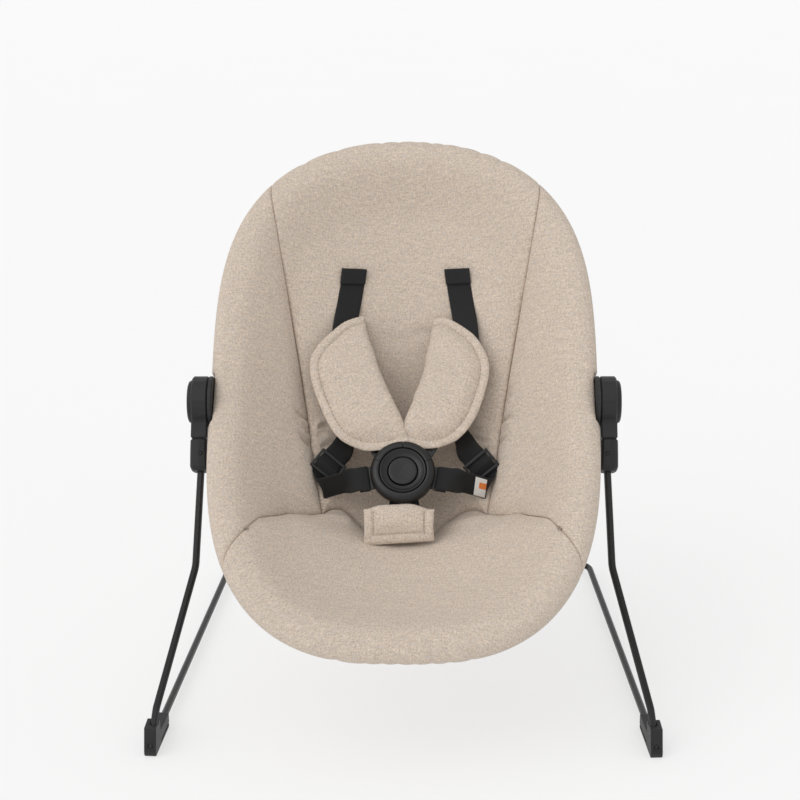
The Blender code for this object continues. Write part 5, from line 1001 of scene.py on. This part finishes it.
LEFT_PAD_FOLD = (
    (0.2055, 0.0205), (0.1885, 0.0255), (0.1710, 0.0295), (0.1420, 0.0340), (0.1000, 0.0330),
    (0.0743, 0.0265), (0.0545, 0.0205), (0.0435, 0.0170),
)
RIGHT_PAD_BOUND = (
    (0.0412, -0.0300), (0.0430, -0.0180), (0.0567, -0.0040), (0.0699, 0.0080), (0.0854, 0.0172),
    (0.0979, 0.0220), (0.1067, 0.0232), (0.1222, 0.0242), (0.1354, 0.0255), (0.1501, 0.0268),
    (0.1626, 0.0270), (0.1761, 0.0248), (0.1880, 0.0200), (0.1965, 0.0110), (0.2025, 0.0000),
    (0.2050, -0.0120),
)
RIGHT_PAD_FOLD = (
    (0.2030, -0.0170), (0.1927, -0.0225), (0.1744, -0.0310), (0.1523, -0.0375), (0.1001, -0.0410),
    (0.0699, -0.0370), (0.0493, -0.0330),
)


def flat_curve(points, count):
    """Even steps along a smooth curve through flat points."""
    return np.array([p[:2] for p in curve_through([(*p, 0.0) for p in points], count)])


def bulge(away, reach):
    """A quarter round that rises from 0 at an edge to 1 where it is reached."""
    return np.sqrt(np.clip(1 - (1 - np.minimum(away / reach, 1)) ** 2, 0, 1))


def sewn_pad(name, solid, stations, bound, fold, plump, lift, back=(PAD_BACK, PAD_BACK, 0.0024)):
    """A pad on a strap's stations, from its bound edge and its folded edge as (run, aside) places.

    back is its depth behind the stations, at its first and last end, and how far in that is reached.
    """
    bound = flat_curve(bound, 150)
    fold = flat_curve([bound[-1], *fold, bound[0]], 70)
    outline = run_along(np.concatenate([bound, fold[1:-1], bound[:1]]), np.arange(PAD_EDGE) / PAD_EDGE)
    middle = outline.mean(0)
    shares = 1 - (1 - np.arange(1, PAD_RINGS + 1) / PAD_RINGS) ** 1.5
    rings = middle + (outline[None] - middle) * shares[:, None, None]
    flat = np.concatenate([middle[None], rings.reshape(-1, 2)])
    to_bound = nearest(flat, bound)[1]
    to_fold = nearest(flat, flat_curve(fold, 200))[1]
    hem = PAD_BACK * bulge(to_bound, 0.0024)
    hem = hem + 0.0006 * np.sin(math.pi * np.clip((to_bound - 0.001) / (PAD_BINDING - 0.001), 0, 1))
    hem = hem - 0.0012 * np.exp(-(((to_bound - PAD_BINDING) / 0.0011) ** 2))
    full = hem + (plump - PAD_BACK) * np.sin(math.pi / 2 * np.clip((to_bound - PAD_BINDING) / 0.016, 0, 1))
    soft = plump * bulge(to_fold, 0.0105)
    top = np.maximum(-np.log(np.exp(-PAD_SHARP * full) + np.exp(-PAD_SHARP * soft)) / PAD_SHARP, 0.0)
    top += 0.0003 * np.sin(flat[:, 0] * 190 + 2.0 * np.sin(flat[:, 1] * 130)) * ease(to_bound / 0.02)
    top[to_bound < 1e-6] = 0.0
    depth = np.interp(flat[:, 0], [flat[:, 0].min(), flat[:, 0].max()], back[:2])
    bottom = -depth * np.sqrt(np.clip(np.minimum(to_bound, to_fold) / back[2], 0, 1))
    centres, across, faces = [np.array(part) for part in zip(*stations)]
    run = run_of(centres)
    run = np.concatenate([[-0.05], run, [run[-1] + 0.05]])
    # The frame carries on straight past both ends of the stations
    ends = unit(np.array([centres[0] - centres[1], centres[-1] - centres[-2]])) * 0.05
    centres = np.concatenate([[centres[0] + ends[0]], centres, [centres[-1] + ends[1]]])
    across, faces = [unit(ways[[0, *range(len(ways)), -1]]) for ways in (across, faces)]

    def laid(place, height):
        """Points of the pad, from (run, aside) places and heights over the stations."""
        middle, aside, out = [np.stack([np.interp(place[:, 0], run, column) for column in grid.T], 1)
                              for grid in (centres, across, faces)]
        return middle + aside * place[:, 1:2] + out * (height[:, None] + lift)

    ring = np.arange(PAD_EDGE)
    inner = [[0, 1 + k, 1 + (k + 1) % PAD_EDGE] for k in range(PAD_EDGE)]
    outer = []
    for first in range(1, (PAD_RINGS - 1) * PAD_EDGE, PAD_EDGE):
        a, b = first + ring, first + PAD_EDGE + ring
        outer.append(np.stack([a, b, np.roll(b, -1), np.roll(a, -1)], 1))
    outer, count = np.concatenate(outer), len(flat)
    # The last ring is the edge, which joins the two layers
    side = np.stack([b, b + count, np.roll(b, -1) + count, np.roll(b, -1)], 1)
    polygons = inner + outer.tolist() + [[v + count for v in reversed(f)] for f in inner]
    polygons += (outer[:, ::-1] + count).tolist() + side.tolist()
    points = np.concatenate([laid(flat, top), laid(flat, bottom)]).tolist()
    pad = new_piece(name, points, polygons, np.concatenate([flat, flat])[:, ::-1])
    finished(face_outward(pad, merge=0.00002), linen, [solid])
    return laid, outline, bound


def stitch_line(name, laid, lines, height):
    """Sewing thread along lines on a pad: short rounded stitches that dip in at both ends."""
    points, faces = [], []
    for line in lines:
        length = run_of(line)[-1]
        for k in range(int(length / PAD_STITCH_PITCH)):
            start = (k + 0.2) * PAD_STITCH_PITCH / length
            flat = run_along(line, start + PAD_STITCH / length * np.linspace(0, 1, 5))
            dip = height + 0.00035 * np.sin(math.pi * np.linspace(0, 1, 5)) - 0.0002
            middle = laid(flat, dip)
            way = Vector(middle[-1] - middle[0]).normalized()
            up = Vector(laid(flat[:1], dip[:1] + 0.001)[0] - middle[0]).normalized()
            aside = way.cross(up).normalized()
            first = len(points)
            for point, radius in zip(middle, STITCH_RADII):
                points += [Vector(point) + (aside * math.cos(a) + up * math.sin(a)) * radius
                           for a in np.arange(6) * math.tau / 6]
            for low in range(first, first + 24, 6):
                faces += [[low + k, low + (k + 1) % 6, low + 6 + (k + 1) % 6, low + 6 + k] for k in range(6)]
            faces += [list(range(first, first + 6)), list(range(first + 24, first + 30))]
    finished(face_outward(new_piece(name, points, faces)), thread)


THREAD_DARK = (0.23, 0.185, 0.145, 1.0)
THREAD_PALE = (0.36, 0.30, 0.24, 1.0)
thread, tree, shader = finish_of("beige_thread", 0.7)
twist = noise(tree, node(tree, "ShaderNodeTexCoord").outputs["Object"], 2500.0, 1.0)
tree.links.new(blend(tree, twist, THREAD_DARK, THREAD_PALE), shader.inputs["Base Color"])
lay_bump(tree, shader, twist, 0.0001)


def inset_line(outline, bound, depth):
    """The line that runs a little inside the bound edge of a pad."""
    way = unit(np.gradient(bound, axis=0))
    inward = np.stack([-way[:, 1], way[:, 0]], 1)
    if ((outline.mean(0) - bound[75]) * inward[75]).sum() < 0:
        inward = -inward
    line = bound + inward * depth
    return line[nearest(line, bound)[1] > depth * 0.97]


pad_shapes = ((LEFT_PAD_BOUND, LEFT_PAD_FOLD, 0.0030), (RIGHT_PAD_BOUND, RIGHT_PAD_FOLD, 0.0016))
for (side, name), (bound, fold, lift) in zip(SIDES, pad_shapes):
    run, lug = shoulder_runs[side]
    turn = lug.to_3x3()
    level = facing(turn @ Vector((0.0, 1.0, 0.0)), ACROSS)
    ending = [(lug @ Vector((out, 0.0, rise)), level, turn @ Vector((0.0, 0.0, 1.0)))
              for out, rise in ((0.0440, 0.0008), (0.0350, 0.0016))]
    laid, outline, edge = sewn_pad(f"{name}_pad", f"{name}_shoulder_pad", run[:-6] + ending, bound, fold,
                                   0.0085, lift)
    stitch_line(f"{name}_pad_stitching", laid, [inset_line(outline, edge, PAD_BINDING)], 0.0013)

# The sleeve round the crotch strap, with a hem down each side. Its top edge bulges up under the buckle.
SLEEVE_HALF = 0.0338
SLEEVE_RUN = 0.0322
SLEEVE_SLANT = 0.0022
SLEEVE_STITCH_IN = 0.0095
SLEEVE_TOP = Vector((-0.0048, -0.0364, -0.0968))
SLEEVE_FOOT = Vector((-0.0048, -0.0500, -0.1228))
sleeve_bound = []
for side in (1, -1):
    low = SLEEVE_RUN - side * SLEEVE_SLANT
    line = ((-0.0010, 0.0), (0.0100, 0.0007), (low - 0.0100, 0.0009), (low - 0.0026, 0.0001),
            (low - 0.0004, 0.0004), (low, 0.0028), (low + side * SLEEVE_SLANT * 0.55, SLEEVE_HALF - 0.0150))
    line = [(run, side * (SLEEVE_HALF - inward)) for run, inward in line]
    sleeve_bound += line[::side]
sleeve_fold = ((-0.0012, 0.004 - SLEEVE_HALF), (-0.0048, -0.0190), (-0.0056, -0.0060), (-0.0064, 0.0080),
               (-0.0050, 0.0170), (-0.0010, SLEEVE_HALF - 0.006))
out = facing((SLEEVE_FOOT - SLEEVE_TOP).cross(ACROSS).normalized(), Vector((0.0, -1.0, 0.0)))
sleeve_run = []
for share in np.linspace(0.0, 1.0, 12):
    bow = Vector((0.0, -0.0020, 0.0012)) * math.sin(math.pi * share)
    sleeve_run.append((hub + SLEEVE_TOP.lerp(SLEEVE_FOOT, share) + bow, ACROSS, out))
laid = sewn_pad("crotch_pad", "crotch_sleeve", sleeve_run, sleeve_bound, sleeve_fold, 0.0056, 0.0,
                (0.0125, 0.0030, 0.012))[0]
hem = SLEEVE_HALF - SLEEVE_STITCH_IN
foot = SLEEVE_RUN - 0.0065
lines = [((0.001, side * hem), (0.015, side * (hem - 0.0006)), (foot, side * hem)) for side in (-1, 1)]
lines += [((foot - side * SLEEVE_SLANT, side * (SLEEVE_HALF - 0.001)),
           (foot - side * SLEEVE_SLANT * 0.8, side * (hem - 0.001))) for side in (-1, 1)]
stitch_line("crotch_pad_stitching", laid, [np.array(line) for line in lines], 0.0026)

# A care tag, sewn on the right waist strap. It stays bare but for a plain orange patch.
TAG_HALF = 0.0106
TAG_THICKNESS = 0.0003
TAG_LIE = STRAP_THICKNESS / 2 + 0.0006
TAG_BOW = 0.0007
TAG_WHITE = (0.80, 0.80, 0.78, 1.0)
TAG_ORANGE = (0.83, 0.235, 0.045, 1.0)
TAG_PATCH = ((0, "GREATER_THAN", -0.0010), (0, "LESS_THAN", 0.0060), (1, "GREATER_THAN", 0.0050))
TAG_START, TAG_END = 0.18, 0.93
tag_line = waist_run[11:]
sides = np.linspace(-1.0, 1.0, 15)
tag_rows, tag_under = [], []
for share in np.linspace(TAG_START, TAG_END, 16):
    place = share * (len(tag_line) - 1)
    k = min(int(place), len(tag_line) - 2)
    centre, across, face = [tag_line[k][j].lerp(tag_line[k + 1][j], place - k) for j in range(3)]
    across, face = across.normalized(), facing(face.normalized(), Vector((0.0, -1.0, 0.0)))
    bow = TAG_BOW * math.sin(math.pi * (share - TAG_START) / (TAG_END - TAG_START))
    for rows, low in ((tag_rows, 0.0), (tag_under, TAG_THICKNESS)):
        rows.append([centre + across * (v * TAG_HALF) + face * (TAG_LIE + bow * (1 - v * v) - low)
                     for v in sides])
tag_rows = np.array(tag_rows)
tag_length = float(run_of(tag_rows[:, 7])[-1])
tag_cloth = np.stack(np.meshgrid(sides * TAG_HALF, np.linspace(0.0, tag_length, 16)), -1)
tag = closed_grid("care_tag", tag_rows, np.array(tag_under), tag_cloth)
satin, tree, shader = finish_of("satin_tag", 0.55)
place = node(tree, "ShaderNodeUVMap", uv_map="cloth").outputs[0]
cloth = placed_effect(tree, weave, {"Place": place, "Yarn": 0.0003, "Slub": 0.002})
parts = node(tree, "ShaderNodeSeparateXYZ", {0: place}).outputs
share = 1.0
for part, operation, end in TAG_PATCH:
    share = maths(tree, "MULTIPLY", share, maths(tree, operation, parts[part], end))
share = maths(tree, "ADD", share, remap(tree, cloth["Tone"], 0.0, 1.0, -0.06, 0.06))
tree.links.new(blend(tree, share, TAG_WHITE, TAG_ORANGE), shader.inputs["Base Color"])
lay_bump(tree, shader, cloth["Height"], 0.00008)
bpy.context.view_layer.update()
finished(tag, satin, ["strap_tag"])


# The buckle. Its shell, dished ring, button and the tongues' covers are injection moulded in
# black nylon, with the parting edges eased and thin grooves where the parts meet. The button
# clicks in on its spring. Each tongue's plate has a slot that the strap is sewn round.
GROOVE_RADIUS = 0.0226
BUTTON_RADIUS = 0.0140
RIM_SHAPE = (
    (GROOVE_RADIUS + 0.0004, -0.0006), (0.0306, -0.0006), (0.0312, 0.0002), (0.0313, 0.0020),
    (0.0312, 0.0038), (0.0307, 0.0054), (0.0298, 0.0068), (0.0285, 0.0079), (0.0268, 0.0087),
    (0.0250, 0.0091), (0.0238, 0.0090), (0.0232, 0.0086), (GROOVE_RADIUS + 0.0004, 0.0078),
)
DISH_SHAPE = (
    (BUTTON_RADIUS + 0.0006, -0.0003), (GROOVE_RADIUS - 0.0001, -0.0003), (GROOVE_RADIUS - 0.0001, 0.0074),
    (GROOVE_RADIUS - 0.0004, 0.0084), (GROOVE_RADIUS - 0.0010, 0.0088), (GROOVE_RADIUS - 0.0017, 0.0085),
    (GROOVE_RADIUS - 0.0027, 0.0075), (GROOVE_RADIUS - 0.0042, 0.0064), (BUTTON_RADIUS + 0.0026, 0.0057),
    (BUTTON_RADIUS + 0.0014, 0.0056), (BUTTON_RADIUS + 0.0008, 0.0052), (BUTTON_RADIUS + 0.0006, 0.0046),
)
BUTTON_SHAPE = (
    (BUTTON_RADIUS, 0.0024), (BUTTON_RADIUS, 0.0056), (BUTTON_RADIUS - 0.0002, 0.0062),
    (BUTTON_RADIUS - 0.0008, 0.0067), (BUTTON_RADIUS - 0.0016, 0.0068), (BUTTON_RADIUS - 0.0050, 0.0066),
    (0.0060, 0.0063), (0.0010, 0.0062),
)


def only(piece):
    """Selects one piece alone, as the active one."""
    bpy.ops.object.select_all(action="DESELECT")
    piece.select_set(True)
    bpy.context.view_layer.objects.active = piece


def turned_part(name, shape, closed):
    """A round part: a circle extruded through (radius, height) places, back to its start or to a cap."""
    bpy.ops.object.select_all(action="DESELECT")
    bpy.ops.mesh.primitive_circle_add(vertices=128, radius=shape[0][0], location=(0.0, 0.0, 0.0),
                                      fill_type="NOTHING" if closed else "NGON")
    part = bpy.context.object
    part.name = part.data.name = name
    bpy.ops.object.mode_set(mode="EDIT")
    bpy.ops.mesh.select_all(action="SELECT")
    bpy.ops.transform.translate(value=(0.0, 0.0, shape[0][1]))
    steps = list(shape) + ([shape[0]] if closed else [])
    extrude = bpy.ops.mesh.extrude_edges_move if closed else bpy.ops.mesh.extrude_region_move
    for (r0, z0), (r1, z1) in zip(steps, steps[1:]):
        extrude(TRANSFORM_OT_translate={"value": (0.0, 0.0, z1 - z0)})
        bpy.ops.transform.resize(value=(r1 / r0, r1 / r0, 1.0), center_override=(0.0, 0.0, 0.0))
    bpy.ops.mesh.select_all(action="SELECT")
    bpy.ops.mesh.remove_doubles(threshold=0.00001)
    bpy.ops.mesh.normals_make_consistent(inside=False)
    bpy.ops.object.mode_set(mode="OBJECT")
    return part


def sliced(piece, degrees, keep_left):
    """Saws a part through its axis at an angle and closes the cut."""
    only(piece)
    bpy.ops.object.mode_set(mode="EDIT")
    bpy.ops.mesh.select_all(action="SELECT")
    angle = math.radians(degrees)
    bpy.ops.mesh.bisect(plane_co=(0.0, 0.0, 0.0), plane_no=(-math.sin(angle), math.cos(angle), 0.0),
                        use_fill=True, clear_inner=keep_left, clear_outer=not keep_left)
    bpy.ops.object.mode_set(mode="OBJECT")


def carved(piece, other):
    """Cuts another part out of a piece. The other is then gone."""
    only(piece)
    cut = piece.modifiers.new("cut", "BOOLEAN")
    cut.operation = "DIFFERENCE"
    cut.object = other
    cut.solver = "EXACT"
    bpy.ops.object.modifier_apply(modifier="cut")
    bpy.data.objects.remove(other)


def eased(piece, width):
    """Rounds a part's edges, and shades it smooth between them."""
    only(piece)
    edge = piece.modifiers.new("edge", "BEVEL")
    edge.width = width
    edge.segments = 3
    edge.limit_method = "ANGLE"
    edge.angle_limit = math.radians(35)
    bpy.ops.object.modifier_apply(modifier="edge")
    bpy.ops.object.shade_smooth_by_angle(angle=math.radians(40))


def block(size, place):
    """A plain block."""
    bpy.ops.object.select_all(action="DESELECT")
    bpy.ops.mesh.primitive_cube_add(size=1.0, location=place)
    bpy.ops.transform.resize(value=size)
    bpy.ops.object.transform_apply(location=True, rotation=True, scale=True)
    return bpy.context.object


def swung(piece, angle):
    """Turns a part about the buckle's axis."""
    only(piece)
    bpy.ops.transform.rotate(value=-angle, orient_axis="Z", center_override=(0.0, 0.0, 0.0))
    bpy.ops.object.transform_apply(location=True, rotation=True, scale=True)
    return piece


def joined(first, *others):
    """Makes one piece of several."""
    only(first)
    for other in others:
        other.select_set(True)
    bpy.ops.object.join()
    return first


def set_in(piece, matrix, nodes, body="seat"):
    """Moves a finished part from the bench to its place on the seat."""
    only(piece)
    piece.matrix_world = matrix
    bpy.ops.object.transform_apply(location=True, rotation=True, scale=True)
    finished(piece, satin_nylon, nodes, body)


SATIN_BLACK = (0.0075, 0.0077, 0.0080, 1.0)
satin_nylon = grained("satin_black_nylon", 0.34, 2600.0, 70.0, 0.00005, (SATIN_BLACK, NYLON_POLISHED), "Rub",
                      (0.28, 0.40), specular=0.42)

dish = turned_part("buckle_shell", DISH_SHAPE, True)
eased(dish, 0.00015)
lower = turned_part("buckle_rim", RIM_SHAPE, True)
for degrees in (22, 68):
    carved(lower, swung(block((0.08, 0.08, 0.05), (0.04, 0.04, 0.0)), math.radians(degrees)))
eased(lower, 0.00030)
set_in(joined(dish, lower), buckle_frame, ["buckle_front"])
button = turned_part("release_button_cap", BUTTON_SHAPE, False)
eased(button, 0.00020)
set_in(button, buckle_frame, ["buckle_button"], "buckle_release")
LUG_ROOT = 0.0235
for (side, name), angles in zip(SIDES, ((90.6, 157.4), (22.6, 89.4))):
    cover = turned_part(f"{name}_tongue", RIM_SHAPE, True)
    sliced(cover, angles[0], True)
    sliced(cover, angles[1], False)
    eased(cover, 0.00030)
    lugs = []
    for angle, tip, half in ((math.radians(120), 0.0443, 0.0160), (WAIST_ANGLE, 0.0413, 0.0116)):
        plate = block((tip - LUG_ROOT, 2 * half, 0.0023), ((tip + LUG_ROOT) / 2, 0.0, LUG_MIDDLE))
        slot = min(half - 0.0022, 0.0126)
        carved(plate, block((0.0047, 2 * slot, 0.02), (tip - 0.00635, 0.0, LUG_MIDDLE)))
        eased(plate, 0.00070)
        lugs.append(swung(plate, angle if side < 0 else math.pi - angle))
    set_in(joined(cover, *lugs), buckle_frame, [f"{name}_buckle_tongue"])

# The slides on the waist straps: a flat frame with a bar across it
slide = block((2 * SLIDE_REACH, 0.0300, 2 * SLIDE_HALF), (0.0, 0.0, 0.0))
for way in (-1, 1):
    carved(slide, block((0.0060, 0.0247, 0.02), (way * 0.0045, 0.0, 0.0)))
eased(slide, 0.00085)
slide.name = "left_slide"
twin = bpy.data.objects.new("right_slide", slide.data.copy())
bpy.context.scene.collection.objects.link(twin)
for (side, name), piece in zip(SIDES, (slide, twin)):
    set_in(piece, slide_frames[side], [f"{name}_strap_adjuster"])
